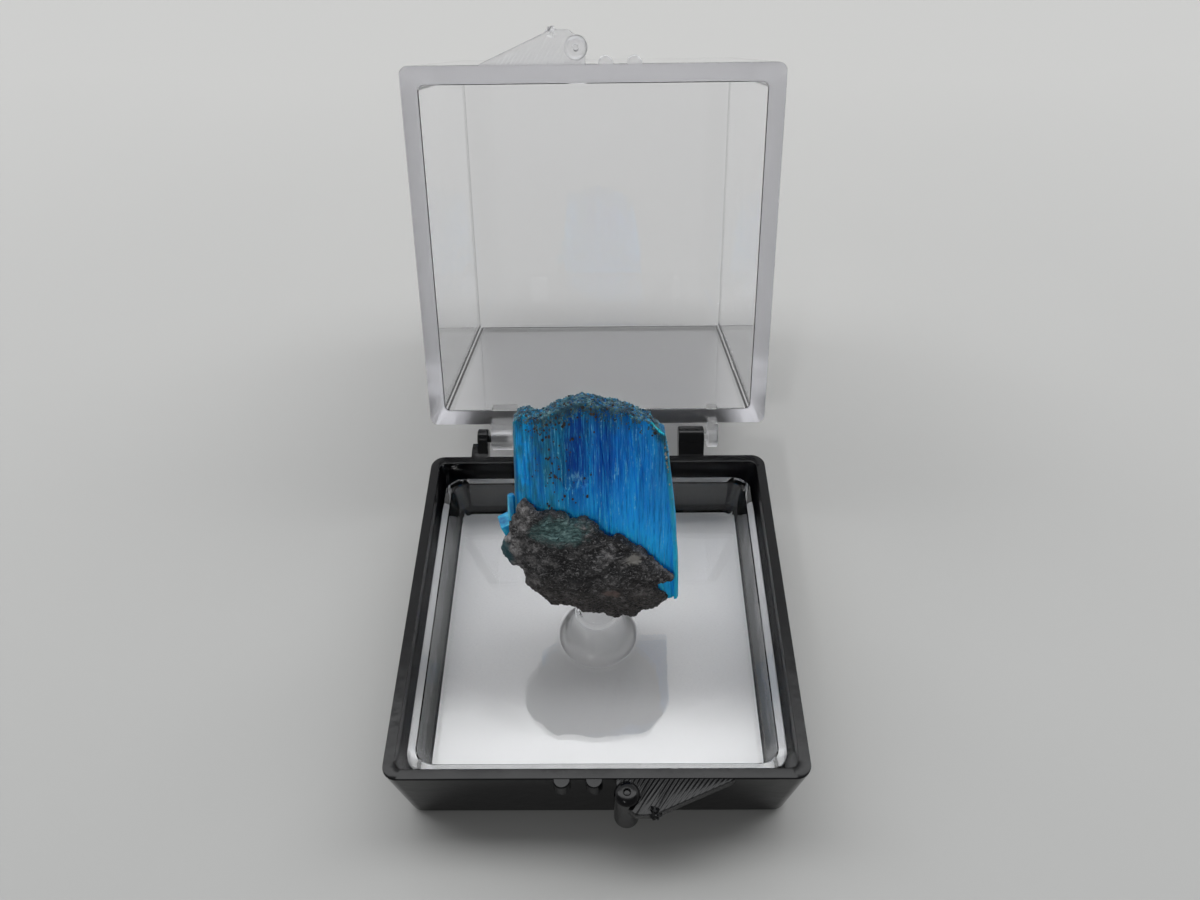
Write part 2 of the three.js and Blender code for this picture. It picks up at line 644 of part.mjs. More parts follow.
chalcanthiteBox.add(meshOf("base", baseSolid(), PLASTIC_BLACK));
chalcanthiteBox.add(meshOf("liner", cardSolid(), CARD_PALE));
chalcanthiteBox.add(meshOf("insert", traySolid(), PLASTIC_CLEAR));
chalcanthiteBox.add(meshOf("matrix", rockSolid(), ROCK_DARK));

const crystals = meshOf("chalcanthite", crystalSolid(), CRYSTAL_BLUE);
crystals.applyMatrix4(specimenPlace);
chalcanthiteBox.add(crystals);

const hinged = new THREE.Group();
hinged.position.set(0, HINGE_Y, HINGE_Z);
hinged.rotation.x = -OPEN_ANGLE;
hinged.add(meshOf("lid", lidSolid(), PLASTIC_CLEAR));
chalcanthiteBox.add(hinged);

export default chalcanthiteBox;
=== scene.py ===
# %% [markdown]
# # Chalcanthite in its specimen box
# A blue fibrous mineral stands on its dark host rock, and the rock stands on a small pedestal in a
# hinged plastic box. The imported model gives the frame: where each piece is, and which piece turns
# with the lid. Everything here is fitted to it, in the same place and at the same size.

# %% The frame
import json
import math
import random

import bmesh
import bpy
from mathutils import Euler, Matrix, Vector, noise


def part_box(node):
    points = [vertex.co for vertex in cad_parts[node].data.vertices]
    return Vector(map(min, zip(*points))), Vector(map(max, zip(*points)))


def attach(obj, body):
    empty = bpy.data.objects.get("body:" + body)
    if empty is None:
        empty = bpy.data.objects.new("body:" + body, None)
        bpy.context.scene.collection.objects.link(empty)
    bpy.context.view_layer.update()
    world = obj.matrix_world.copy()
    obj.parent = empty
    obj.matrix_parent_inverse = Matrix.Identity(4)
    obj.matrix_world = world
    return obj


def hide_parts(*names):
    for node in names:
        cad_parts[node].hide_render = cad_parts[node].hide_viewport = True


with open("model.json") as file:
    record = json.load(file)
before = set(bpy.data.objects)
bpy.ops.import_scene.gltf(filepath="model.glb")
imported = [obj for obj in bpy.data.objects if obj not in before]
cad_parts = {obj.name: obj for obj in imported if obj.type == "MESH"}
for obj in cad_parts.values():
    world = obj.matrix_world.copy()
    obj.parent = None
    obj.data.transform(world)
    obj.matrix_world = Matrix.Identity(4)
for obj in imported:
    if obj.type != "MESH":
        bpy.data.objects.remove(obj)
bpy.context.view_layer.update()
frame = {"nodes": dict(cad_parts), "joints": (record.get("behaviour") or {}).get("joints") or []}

scene = bpy.context.scene

# %% [markdown]
# ## Sizes
# A small box is easiest to model in millimetres. Blender works in metres here, so each piece is
# made in millimetres and shrunk once, when it is finished. The sizes come from the frame: the lid's
# hinge is the frame's own joint, and it gives the rim's height too. The base gives the rim's width,
# and the tray its underside and its pedestal's top.

# %% Sizes
MM = 0.001


def extent(node):
    low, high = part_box(node)
    return low / MM, high / MM


HINGE = Vector(frame["joints"][0]["pos_m"]) / MM
OPEN_ANGLE = math.radians(frame["joints"][0]["range_deg"][1])
RIM_HALF = extent("base")[1].x
RIM_HEIGHT = HINGE.z - 0.7
RIM_GAP = 0.2
print("hinge", tuple(HINGE), "opens", round(math.degrees(OPEN_ANGLE), 1), "half width", round(RIM_HALF, 2))

# %% [markdown]
# ## From bmesh to a finished piece
# A bmesh is Blender's mesh in memory, and its operators do what the editor's tools do. These
# helpers turn one into an object that sits at the origin, with its place in its mesh, and hang it
# on the body that it moves with. Moulded pieces have large flat faces beside small eased edges, and
# plain smooth shading would spread each edge's tilt over the flat face. The Weighted Normal modifier
# lets the largest faces decide, so that flat plastic looks flat.

# %% Finishing helpers
WELD = 0.0005


def points_of(made):
    return [part for part in made if isinstance(part, bmesh.types.BMVert)]


def edges_of(made):
    return [part for part in made if isinstance(part, bmesh.types.BMEdge)]


def faces_of(made):
    return [part for part in made if isinstance(part, bmesh.types.BMFace)]


def finished(name, shape, finish, body, nodes=(), smooth=32, flat=False):
    """The bmesh, in millimetres, as a piece of the model. Edges sharper than smooth degrees stay crisp."""
    bmesh.ops.scale(shape, vec=(MM, MM, MM), verts=shape.verts)
    mesh = bpy.data.meshes.new(name)
    shape.to_mesh(mesh)
    shape.free()
    mesh.materials.append(finish)
    mesh.polygons.foreach_set("use_smooth", [smooth > 0] * len(mesh.polygons))
    if smooth:
        mesh.set_sharp_from_angle(angle=math.radians(smooth))
    piece = bpy.data.objects.new(name, mesh)
    scene.collection.objects.link(piece)
    if flat:
        even = piece.modifiers.new("even shading", "WEIGHTED_NORMAL")
        even.keep_sharp = True
        even.weight = 100
    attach(piece, body)
    if nodes:
        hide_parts(*nodes)
    print(name, len(mesh.polygons), "faces")


def fused(parts, cuts=()):
    """Closed shapes that run into each other, made one, with the cuts taken out of it."""
    solids = []
    for shape in [*parts, *cuts]:
        mesh = bpy.data.meshes.new("part")
        shape.to_mesh(mesh)
        shape.free()
        solid = bpy.data.objects.new("part", mesh)
        scene.collection.objects.link(solid)
        solids.append(solid)
    for number, solid in enumerate(solids[1:], 1):
        join = solids[0].modifiers.new("join", "BOOLEAN")
        join.object = solid
        join.operation = "UNION" if number < len(parts) else "DIFFERENCE"
        join.solver = "EXACT"
    graph = bpy.context.evaluated_depsgraph_get()
    made = bmesh.new()
    made.from_mesh(solids[0].evaluated_get(graph).to_mesh())
    for solid in solids:
        bpy.data.meshes.remove(solid.data)
    bmesh.ops.remove_doubles(made, verts=made.verts, dist=WELD)
    return made


# %% [markdown]
# ## Moulded shapes
# Moulded boxes are squares with round corners, stepped up and out. One face with bevelled corners
# is drawn out again and again, and each step moves its points straight out, so that the corner
# radius stays the same all the way, as a mould maker would cut it.

# %% Moulding helpers
CORNER_STEPS = 8


def round_square(shape, half, corner, z):
    """A flat square face with round corners at height z."""
    before = set(shape.faces)
    bmesh.ops.create_grid(shape, x_segments=1, y_segments=1, size=half)
    face = next(f for f in shape.faces if f not in before)
    bmesh.ops.translate(shape, vec=(0, 0, z), verts=face.verts)
    bmesh.ops.bevel(shape, geom=list(face.verts), offset=corner, offset_type="OFFSET",
                    segments=CORNER_STEPS, profile=0.5, affect="VERTICES", clamp_overlap=False, material=-1)
    return next(f for f in shape.faces if f not in before)


def drawn(shape, face, old, new, keep):
    """The face of one (half width, height, corner radius) drawn on to the next. Gives the new end face."""
    made = bmesh.ops.extrude_face_region(shape, geom=[face])["geom"]
    for point in points_of(made):
        for axis in (0, 1):
            turn = (abs(point.co[axis]) - old[0] + old[2]) / old[2]
            point.co[axis] = math.copysign(new[0] - new[2] + new[2] * turn, point.co[axis])
        point.co.z = new[1]
    if not keep:
        shape.faces.remove(face)
    return faces_of(made)[0]


def box_shell(outside, outer_corner, inside, inner_corner):
    """A box open on one side, in (half width, height) steps: up its outside, then down its inside."""
    shape = bmesh.new()
    levels = [(*level, outer_corner) for level in outside] + [(*level, inner_corner) for level in inside]
    face = closed_end = round_square(shape, levels[0][0], outer_corner, levels[0][1])
    for old, new in zip(levels, levels[1:]):
        face = drawn(shape, face, old, new, keep=face is closed_end)
    bmesh.ops.recalc_face_normals(shape, faces=shape.faces)
    return shape


def slab(outline, thickness):
    """A plate with this outline, its thickness given as a vector."""
    shape = bmesh.new()
    face = shape.faces.new([shape.verts.new(point) for point in outline])
    made = bmesh.ops.extrude_face_region(shape, geom=[face])["geom"]
    bmesh.ops.translate(shape, vec=thickness, verts=points_of(made))
    bmesh.ops.recalc_face_normals(shape, faces=shape.faces)
    return shape


def turned(profile, steps=32, place=Matrix()):
    """A profile of (radius, height) points spun about the Z axis, then moved to its place."""
    shape = bmesh.new()
    points = [shape.verts.new((radius, 0, z)) for radius, z in profile]
    edges = [shape.edges.new(pair) for pair in zip(points, points[1:])]
    bmesh.ops.spin(shape, geom=points + edges, cent=(0, 0, 0), axis=(0, 0, 1), angle=math.tau,
                   steps=steps, use_merge=True)
    bmesh.ops.remove_doubles(shape, verts=shape.verts, dist=WELD)
    bmesh.ops.recalc_face_normals(shape, faces=shape.faces)
    bmesh.ops.transform(shape, matrix=place, verts=shape.verts)
    return shape


def block(size, place=Matrix(), soft=0.0):
    """A box of this size, its edges eased by soft."""
    shape = bmesh.new()
    bmesh.ops.create_cube(shape, size=1)
    bmesh.ops.scale(shape, vec=size, verts=shape.verts)
    if soft:
        bmesh.ops.bevel(shape, geom=list(shape.edges), offset=soft, offset_type="OFFSET", segments=2,
                        profile=0.5, affect="EDGES", clamp_overlap=True, material=-1)
    bmesh.ops.transform(shape, matrix=place, verts=shape.verts)
    return shape


ALONG_X = Matrix.Rotation(math.pi / 2, 4, "Y")


def rod(radius, from_x, to_x, soft=0.08, steps=32):
    """A round rod along X on the hinge axis, its ends eased."""
    length = to_x - from_x
    profile = [(0, 0), (radius - soft, 0), (radius, soft), (radius, length - soft), (radius - soft, length),
               (0, length)]
    return turned(profile, steps, Matrix.Translation((from_x, 0, 0)) @ ALONG_X)


print("moulding helpers ready")

# %% [markdown]
# ## Materials
# Every finish is made of nodes. A short helper adds a node, sets its plain values and links the
# rest, which keeps each recipe as short as its description.

# %% Material helpers
def new_finish(name):
    finish = bpy.data.materials.new(name)
    finish.use_nodes = True
    tree = finish.node_tree
    shader = tree.nodes["Principled BSDF"]
    return finish, tree, shader


def add(tree, kind, sockets=None, **settings):
    """A node of this kind. sockets maps an input's name or number to a value or another output."""
    made = tree.nodes.new(kind)
    for setting, value in settings.items():
        setattr(made, setting, value)
    for key, value in (sockets or {}).items():
        if isinstance(value, bpy.types.NodeSocket):
            tree.links.new(value, made.inputs[key])
        else:
            made.inputs[key].default_value = value
    return made


def object_place(tree, stretch=(1, 1, 1)):
    """Object coordinates in millimetres, stretched for a pattern."""
    where = add(tree, "ShaderNodeTexCoord").outputs["Object"]
    size = tuple(side / MM for side in stretch)
    return add(tree, "ShaderNodeMapping", {"Vector": where, "Scale": size}).outputs[0]


def grain(tree, place, scale, detail=3.0, rough=0.5):
    sockets = {"Vector": place, "Scale": scale, "Detail": detail, "Roughness": rough}
    return add(tree, "ShaderNodeTexNoise", sockets).outputs["Fac"]


def ramp(tree, fac, stops):
    """A colour ramp through (position, colour) stops."""
    made = add(tree, "ShaderNodeValToRGB", {"Fac": fac})
    while len(made.color_ramp.elements) < len(stops):
        made.color_ramp.elements.new(0.5)
    for element, (position, colour) in zip(made.color_ramp.elements, stops):
        element.position = position
        element.color = (*colour, 1)
    return made.outputs["Color"]


def span(tree, value, from_low, from_high, to_low=0.0, to_high=1.0, fade="LINEAR"):
    """The value, read between from_low and from_high, as a number between to_low and to_high."""
    sockets = {"Value": value, "From Min": from_low, "From Max": from_high, "To Min": to_low,
               "To Max": to_high}
    return add(tree, "ShaderNodeMapRange", sockets, clamp=True, interpolation_type=fade).outputs[0]


def blend(tree, fac, first, second):
    """The first colour where fac is 0, the second where it is 1. The Mix node's colours are 6 and 7."""
    tones = [tone if isinstance(tone, bpy.types.NodeSocket) else (*tone, 1) for tone in (first, second)]
    return add(tree, "ShaderNodeMix", {0: fac, 6: tones[0], 7: tones[1]}, data_type="RGBA").outputs[2]


def count(tree, operation, first, second=0.0):
    """One step of arithmetic on numbers or outputs."""
    return add(tree, "ShaderNodeMath", {0: first, 1: second}, operation=operation).outputs[0]


def bump(tree, shader, height, strength, distance):
    sockets = {"Height": height, "Strength": strength, "Distance": distance}
    tree.links.new(add(tree, "ShaderNodeBump", sockets).outputs[0], shader.inputs["Normal"])


print("material helpers ready")

# %% [markdown]
# ## Black plastic
# The base is black polystyrene from a polished mould. It is nearly black and glossy, with a faint
# haze of handling that only shows where light slides over it. Roughness carries that haze.

# %% Black plastic
def black_plastic():
    finish, tree, shader = new_finish("black_plastic")
    place = object_place(tree)
    haze = grain(tree, place, 0.35, 4)
    dust = grain(tree, place, 6.0, 2)
    dusty = span(tree, dust, 0.66, 0.74, 0, 0.4)
    colour = blend(tree, dusty, (0.0015, 0.0015, 0.002), (0.02, 0.02, 0.021))
    tree.links.new(colour, shader.inputs["Base Color"])
    tree.links.new(span(tree, haze, 0.3, 0.7, 0.1, 0.22), shader.inputs["Roughness"])
    shader.inputs["IOR"].default_value = 1.5
    shader.inputs["Specular IOR Level"].default_value = 0.25
    bump(tree, shader, grain(tree, place, 0.9, 4), 0.2, 0.0001)
    return finish


BLACK_PLASTIC = black_plastic()
print("black plastic", len(BLACK_PLASTIC.node_tree.nodes), "nodes")

# %% [markdown]
# ## Clear plastic
# The lid and the tray are clear polystyrene. Light passes through and bends, so this is plain
# transmission with the plastic's own IOR, and an absorption that only tells where light runs far
# inside the wall: that is what turns the edges a faint violet grey. The lid's rim and its hinge
# side are matt, and so is the tray round its pedestal. A polished edge would show dark bands, where
# light can't leave the plastic, so roughness rises there: it is a ramp on how far a point lies along
# one direction, or how near it is to the pedestal.

# %% Clear plastic
PLASTIC_IOR = 1.59
FROST = 0.36
RIM_MATT = 0.14
TRAY_LOW = extent("insert")[0].z
TRAY_FLOOR = TRAY_LOW + 0.9


def clear_plastic(name, tint, density, smear, ripple, frosted=(), matt_ball=None):
    """Clear plastic. frosted lists (direction, from, to): matt from there on along the direction, in mm.
    matt_ball is (centre, radius): matt inside that ball."""
    finish, tree, shader = new_finish(name)
    place = object_place(tree)
    shader.inputs["Base Color"].default_value = (0.99, 0.99, 1.0, 1)
    shader.inputs["Transmission Weight"].default_value = 1.0
    shader.inputs["IOR"].default_value = PLASTIC_IOR
    haze = grain(tree, place, 0.25, 4)
    rough = span(tree, haze, 0.35, 0.75, *smear)
    for direction, start, full in frosted:
        along_it = add(tree, "ShaderNodeVectorMath", {0: place, 1: direction}, operation="DOT_PRODUCT")
        reach = along_it.outputs["Value"]
        rough = count(tree, "MAXIMUM", rough, span(tree, reach, start, full, 0, FROST))
    if matt_ball:
        centre, radius = matt_ball
        from_centre = add(tree, "ShaderNodeVectorMath", {0: place, 1: centre}, operation="DISTANCE")
        far = from_centre.outputs["Value"]
        rough = count(tree, "MAXIMUM", rough, span(tree, far, radius, radius - 0.6, 0, FROST))
    tree.links.new(rough, shader.inputs["Roughness"])
    bump(tree, shader, grain(tree, place, 0.16, 2), ripple, 0.0002)
    inside = add(tree, "ShaderNodeVolumeAbsorption", {"Color": (*tint, 1), "Density": density})
    tree.links.new(inside.outputs[0], tree.nodes["Material Output"].inputs["Volume"])
    return finish


LID_TURN = Matrix.Rotation(-OPEN_ANGLE, 3, "X")
TO_RIM = LID_TURN @ Vector((0, 0, -1))
TO_HINGE = LID_TURN @ Vector((0, 1, 0))
RIM_REACH = TO_RIM.dot(HINGE) + HINGE.z - RIM_HEIGHT - RIM_GAP
HINGE_REACH = TO_HINGE.dot(HINGE) - HINGE.y + RIM_HALF
LID_FROST = [(TO_RIM, RIM_REACH - RIM_MATT, RIM_REACH - 0.02),
             (TO_HINGE, HINGE_REACH + 0.03, HINGE_REACH + 0.1)]
LID_PLASTIC = clear_plastic("lid_plastic", (0.6, 0.58, 0.74), 9.0, (0.01, 0.06), 0.06, LID_FROST)
TRAY_PLASTIC = clear_plastic("tray_plastic", (0.75, 0.76, 0.8), 8.0, (0.01, 0.04), 0.12,
                             matt_ball=((0, 0, TRAY_FLOOR), 4.0))
print("clear plastic, matt from", round(RIM_REACH - RIM_MATT, 2), "mm at the rim")

# %% [markdown]
# ## Card
# A pale card lies under the tray. It is plain paper board, so it has a soft fibre grain and no
# gloss of its own: the shine over it comes from the tray.

# %% Card
def pale_card():
    finish, tree, shader = new_finish("pale_card")
    fibres = grain(tree, object_place(tree, stretch=(1, 3, 1)), 4.0, 5)
    tree.links.new(ramp(tree, fibres, [(0.3, (0.88, 0.88, 0.87)), (0.7, (0.94, 0.94, 0.93))]),
                   shader.inputs["Base Color"])
    shader.inputs["Roughness"].default_value = 0.7
    bump(tree, shader, fibres, 0.2, 0.00004)
    return finish


card = frame["nodes"]["liner"]
card.data.materials.clear()
card.data.materials.append(pale_card())
print("card", len(card.data.polygons), "faces")

# %% [markdown]
# ## Latch
# Both halves carry the same latch: a post on a thin tab, and two bumps that take the other half's
# post. It is built once, for a rim whose walls go down, and turned over for the lid. The tab has
# fine diagonal ridges from its mould: its top is cut along slanting lines, and every other line is
# lowered. All cuts come first, because a lowered line tilts the faces that the next cut looks for.
# The small rough knob at the tab's corner is where the plastic ran into the mould. Parts that are
# joined never share a plane: the tab lies a hair below the rim, because a join of two faces in one
# plane can leave loose edges.

# %% Latch parts
POST_RADIUS = 0.95
POST_OUT = 1.25
POST_TOP = 0.75
POST_FOOT = -3.9
TAB_THICK = 0.8
TAB_OUTLINE = [(8.4, -0.4), (-0.7, -0.4), (-0.8, 1.25), (-0.2, 2.0), (0.6, 2.6), (2.0, 2.6), (7.9, 0.1)]
BUMP_RADIUS = 0.65
BUMP_HEIGHT = 1.3
BUMP_STEP = 1.2
BASE_POST_X = 2.25
LID_POST_X = -1.35
EDGE_EASE = 0.08
RIDGE_LINES = 34
RIDGE_STEP = 0.15
RIDGE_DEPTH = 0.032
RIDGE_ACROSS = Vector((0.82, -0.57, 0)).normalized()
HAIR = 0.012


def latch_tab(post_x):
    """The ridged tab that carries the post."""
    wall = -RIM_HALF
    tab = slab([(post_x + along, wall - out, -TAB_THICK) for along, out in TAB_OUTLINE], (0, 0, TAB_THICK))
    bmesh.ops.bevel(tab, geom=list(tab.edges), offset=EDGE_EASE, offset_type="OFFSET", segments=2,
                    profile=0.5, affect="EDGES", clamp_overlap=True, material=-1)
    middle = Vector((post_x + 3.5, wall - 1.0, 0))
    for number in range(-RIDGE_LINES, RIDGE_LINES + 1):
        top = [f for f in tab.faces if f.normal.z > 0.9 and f.calc_center_median().z > -0.01]
        geom = top + list({e for f in top for e in f.edges}) + list({v for f in top for v in f.verts})
        on_plane = middle + RIDGE_ACROSS * number * RIDGE_STEP
        bmesh.ops.bisect_plane(tab, geom=geom, dist=WELD, plane_co=on_plane, plane_no=RIDGE_ACROSS)
        tab.normal_update()
    for point in tab.verts:
        line = (point.co - middle).dot(RIDGE_ACROSS) / RIDGE_STEP
        on_line = abs(line - round(line)) < 0.02 and round(line) % 2
        if on_line and abs(point.co.z) < 0.01:
            point.co.z -= RIDGE_DEPTH
    bmesh.ops.translate(tab, vec=(0, 0, -HAIR), verts=tab.verts)
    tab.normal_update()
    return tab


def latch(post_x):
    """The post, its tab and web for a rim at z = 0 whose front edge is y = -RIM_HALF."""
    wall = -RIM_HALF
    profile = [(0, POST_FOOT), (POST_RADIUS - 0.1, POST_FOOT), (POST_RADIUS, POST_FOOT + 0.2),
               (POST_RADIUS, POST_TOP - 0.35), (POST_RADIUS - EDGE_EASE, POST_TOP - 0.2),
               (POST_RADIUS - 0.27, POST_TOP - 0.04), (POST_RADIUS - 0.37, POST_TOP), (0.3, POST_TOP),
               (0.24, POST_TOP - 0.05), (0.2, POST_TOP - 0.2), (0, POST_TOP - 0.22)]
    post = turned(profile, 40, Matrix.Translation((post_x, wall - POST_OUT, 0)))
    web = block((1.5, POST_OUT + 0.4, 3.6), Matrix.Translation((post_x, wall - POST_OUT / 2 + 0.2, -1.9)))
    nub = bmesh.new()
    bmesh.ops.create_icosphere(nub, subdivisions=3, radius=0.48)
    for point in nub.verts:
        point.co *= 1 + 0.45 * noise.noise(point.co * 5)
    bmesh.ops.translate(nub, vec=(post_x + 2.0, wall - 2.35, -0.35), verts=nub.verts)
    return [post, latch_tab(post_x), web, nub]


def bumps(other_post_x):
    """Two bumps on the wall, one on each side of the other half's post."""
    made = []
    for step in (-BUMP_STEP, BUMP_STEP):
        profile = [(0, -BUMP_HEIGHT), (BUMP_RADIUS - 0.1, -BUMP_HEIGHT), (BUMP_RADIUS, -BUMP_HEIGHT + 0.1),
                   (BUMP_RADIUS, -0.08), (BUMP_RADIUS - 0.08, -0.005), (0, -0.005)]
        made.append(turned(profile, 28, Matrix.Translation((other_post_x + step, -RIM_HALF, 0))))
    return made


print("tab ridges every", RIDGE_STEP, "mm")

# %% [markdown]
# ## Hinge
# Each half has an arm with a pin that points inwards, and a block with a hole that takes the other
# half's pin. The feet that tie them to the wall stay on their own side of the rim, and each is a
# hair narrower than the round part that it carries.

# %% Hinge parts
ARM_RADIUS = 0.95
ARM = (10.6, 11.6)
ARM_RUN = 2.6
SOCKET_RADIUS = 1.1
SOCKET = (7.8, 10.25)
SOCKET_RUN = 2.9
SOCKET_BOTTOM = 8.3
PIN_RADIUS = 0.35
PIN_HOLE = 0.65
PIN_TIP = 8.7


def hinge_foot(rim_z, up, radius, run, from_x, to_x):
    """The web between the wall and an arm or socket. up is the side of the rim that it stays on."""
    in_wall = RIM_HALF - 0.6 - HINGE.y
    past_wall = RIM_HALF + 0.1 - HINGE.y
    near_rim = rim_z + up * 0.05
    outline = [(in_wall, near_rim), (past_wall, near_rim), (-radius * 0.94, -up * radius * 0.3),
               (radius * 0.95, -up * radius * 0.2), (radius * 0.74, up * radius * 0.75),
               (in_wall, rim_z + up * run)]
    return slab([(from_x + HAIR, y, z) for y, z in outline], (to_x - from_x - 2 * HAIR, 0, 0))


def hinge_parts(side, rim_z, up):
    """Arm, pin and socket about the X axis. side is the sign of X of the arm."""
    arm = sorted(side * x for x in ARM)
    socket = sorted(-side * x for x in SOCKET)
    pin = sorted((side * PIN_TIP, side * (ARM[0] + 0.3)))
    return [
        rod(ARM_RADIUS, *arm),
        hinge_foot(rim_z, up, ARM_RADIUS, ARM_RUN, *arm),
        rod(PIN_RADIUS, *pin, 0.05, 20),
        rod(SOCKET_RADIUS, *socket),
        hinge_foot(rim_z, up, SOCKET_RADIUS, SOCKET_RUN, *socket),
    ]


def pin_hole(side):
    ends = sorted((side * SOCKET_BOTTOM, side * (SOCKET[1] + 1)))
    return rod(PIN_HOLE, *ends, 0.02, 24)


def moved(shapes, place):
    for shape in shapes:
        bmesh.ops.transform(shape, matrix=place, verts=shape.verts)
    return shapes


print("hinge pins", PIN_RADIUS, "mm in holes of", PIN_HOLE, "mm")

# %% [markdown]
# ## Base
# The base is a shallow black tray with walls that lean out to the rim. The shell is drawn as one
# skin, inside and outside, and the latch and hinge are fused to it, because the real one is a
# single moulding. A thin flare runs from the hinge arm's foot along the wall.

# %% Base
def base_shape():
    rim = RIM_HALF
    top = RIM_HEIGHT
    outside = [(rim - 1.15, 0), (rim - 1.0, 0.06), (rim - 0.85, 0.18), (rim - 0.77, 0.36), (rim, top - 0.1),
               (rim - 0.03, top - 0.03), (rim - 0.1, top)]
    inside = [(rim - 0.78, top), (rim - 0.84, top - 0.02), (rim - 0.86, top - 0.08), (rim - 1.5, 1.25),
              (rim - 1.57, 1.07), (rim - 1.75, 1.0)]
    shell = box_shell(outside, 1.2, inside, 0.7)
    to_rim = Matrix.Translation((0, 0, top))
    to_hinge = Matrix.Translation((0, HINGE.y, HINGE.z))
    latch_side = moved(latch(BASE_POST_X) + bumps(LID_POST_X), to_rim)
    rim_z = top - HINGE.z
    flare = slab([(-12.2, rim - 0.6 - HINGE.y, rim_z), (-12.2, -0.95, rim_z + 0.2), (-12.2, 0, rim_z),
                  (-12.2, rim - 0.6 - HINGE.y, rim_z - 2.6)], (1.6, 0, 0))
    hinge_side = moved(hinge_parts(-1, rim_z, -1) + [flare], to_hinge)
    return fused([shell, *latch_side, *hinge_side], moved([pin_hole(1)], to_hinge))


finished("black_base", base_shape(), BLACK_PLASTIC, "case", ["base"], 25, flat=True)

# %% [markdown]
# ## Lid
# The lid is a deep clear box. It is made closed, with the hinge axis on the X axis, and then swung
# open about that axis, which is how the real one moves.

# %% Lid
LID_DEPTH = 27.77


def lid_shape():
    rim = RIM_HALF
    far = LID_DEPTH
    half = rim - 0.5
    outside = [(half - 0.38, far), (half - 0.2, far - 0.05), (half - 0.06, far - 0.18), (half, far - 0.38),
               (rim, 0.1), (rim - 0.03, 0.03), (rim - 0.1, 0)]
    hollow = rim - 1.5
    inside = [(hollow + 0.06, 0), (hollow - 0.01, 0.1), (hollow - 0.1, far - 1.5),
              (hollow - 0.22, far - 1.26), (hollow - 0.4, far - 1.2)]
    shell = box_shell(outside, 0.75, inside, 0.5)
    to_rim = Matrix.Translation((0, -HINGE.y, RIM_HEIGHT + RIM_GAP - HINGE.z))
    turned_over = to_rim @ Matrix.Rotation(math.pi, 4, "Y")
    parts = moved([shell], to_rim)
    parts += moved(latch(-LID_POST_X) + bumps(-BASE_POST_X), turned_over)
    parts += hinge_parts(1, RIM_HEIGHT + RIM_GAP - HINGE.z, 1)
    lid = fused(parts, [pin_hole(-1)])
    swung = Matrix.Translation(HINGE) @ Matrix.Rotation(-OPEN_ANGLE, 4, "X")
    bmesh.ops.transform(lid, matrix=swung, verts=lid.verts)
    return lid


finished("clear_lid", lid_shape(), LID_PLASTIC, "lid", ["lid"], flat=True)

# %% [markdown]
# ## Tray
# A clear tray lies in the base. Its pedestal is moulded up from the floor as a hollow cone, so the
# cone is fused on and hollowed from below.

# %% Tray
TRAY_HIGH = TRAY_LOW + 4.85
TRAY_HALF = 14.8
TRAY_WALL = 0.8
PEDESTAL_CROWN = extent("insert")[1].z


def tray_shape():
    low, floor, high, rim = TRAY_LOW, TRAY_FLOOR, TRAY_HIGH, TRAY_HALF
    foot = rim - 0.6
    outside = [(foot - 0.4, low), (foot - 0.15, low + 0.08), (foot, low + 0.4), (rim - 0.1, high - 0.12),
               (rim - 0.14, high - 0.03), (rim - 0.22, high)]
    inner_foot = rim - TRAY_WALL - 0.45
    inside = [(rim - TRAY_WALL + 0.06, high), (rim - TRAY_WALL - 0.03, high - 0.1),
              (inner_foot + 0.04, floor + 0.4), (inner_foot - 0.16, floor + 0.08), (inner_foot - 0.42, floor)]
    shell = box_shell(outside, 1.7, inside, 1.3)
    crown = PEDESTAL_CROWN
    cone = turned([(0, floor - 0.4), (3.6, floor - 0.4), (3.6, floor - 0.01), (3.2, floor + 0.04),
                   (2.85, floor + 0.2), (2.6, floor + 0.5), (2.42, floor + 0.9), (1.8, crown - 0.34),
                   (1.72, crown - 0.16), (1.6, crown - 0.04), (1.48, crown), (0, crown)], 72)
    hollow = turned([(0, low - 0.6), (4.2, low - 0.6), (3.4, low), (2.72, floor - 0.2), (2.4, floor + 0.3),
                     (2.16, floor + 0.8), (1.56, crown - 0.42), (1.47, crown - 0.3), (1.34, crown - 0.25),
                     (0, crown - 0.25)], 72)
    return fused([shell, cone], [hollow])


finished("clear_tray", tray_shape(), TRAY_PLASTIC, "case", ["insert"], flat=True)

# %% [markdown]
# ## The specimen's own frame
# The specimen leans back a little. Its pieces are made in a frame of their own: x across, z up the
# fibres, y into the specimen from its front face. One matrix puts them in the box. Heights were read
# as the camera sees them on the front face, and SIGHT_SLOPE says how much lower a point lies for
# each millimetre that it is deeper.

# %% Specimen frame
FIBRE_LEAN = math.radians(15)
FACE_FOOT = Vector((0, -3, RIM_HEIGHT + 1))
SPECIMEN = Matrix.Translation(FACE_FOOT) @ Matrix.Rotation(-FIBRE_LEAN, 4, "X")
SIGHT_SLOPE = 0.645
MASS_FOOT = 2.1
MASS_HEAD = 20.0
MASS_FOOT_X = (-6.35, 6.65)
MASS_HEAD_X = (-5.75, 4.85)
MASS_SWELL = 0.38
MASS_DEPTH = 6.6
CREST = [(-6.4, 19.2), (-5.75, 19.9), (-5.0, 20.65), (-4.2, 20.3), (-3.8, 20.25), (-2.7, 20.95),
         (-1.0, 21.6), (-0.2, 21.6), (0.5, 21.3), (1.8, 21.1), (3.3, 20.3), (4.05, 20.0), (4.7, 19.2),
         (5.1, 18.6), (5.35, 17.6), (6.7, 15.0)]
MASS_START = [(-6.4, 8.6), (-5.9, 7.4), (-5.3, 6.4), (-4.4, 5.0), (-2.6, 3.8), (0.5, 2.9), (3, 2.1),
              (7, 2.1)]
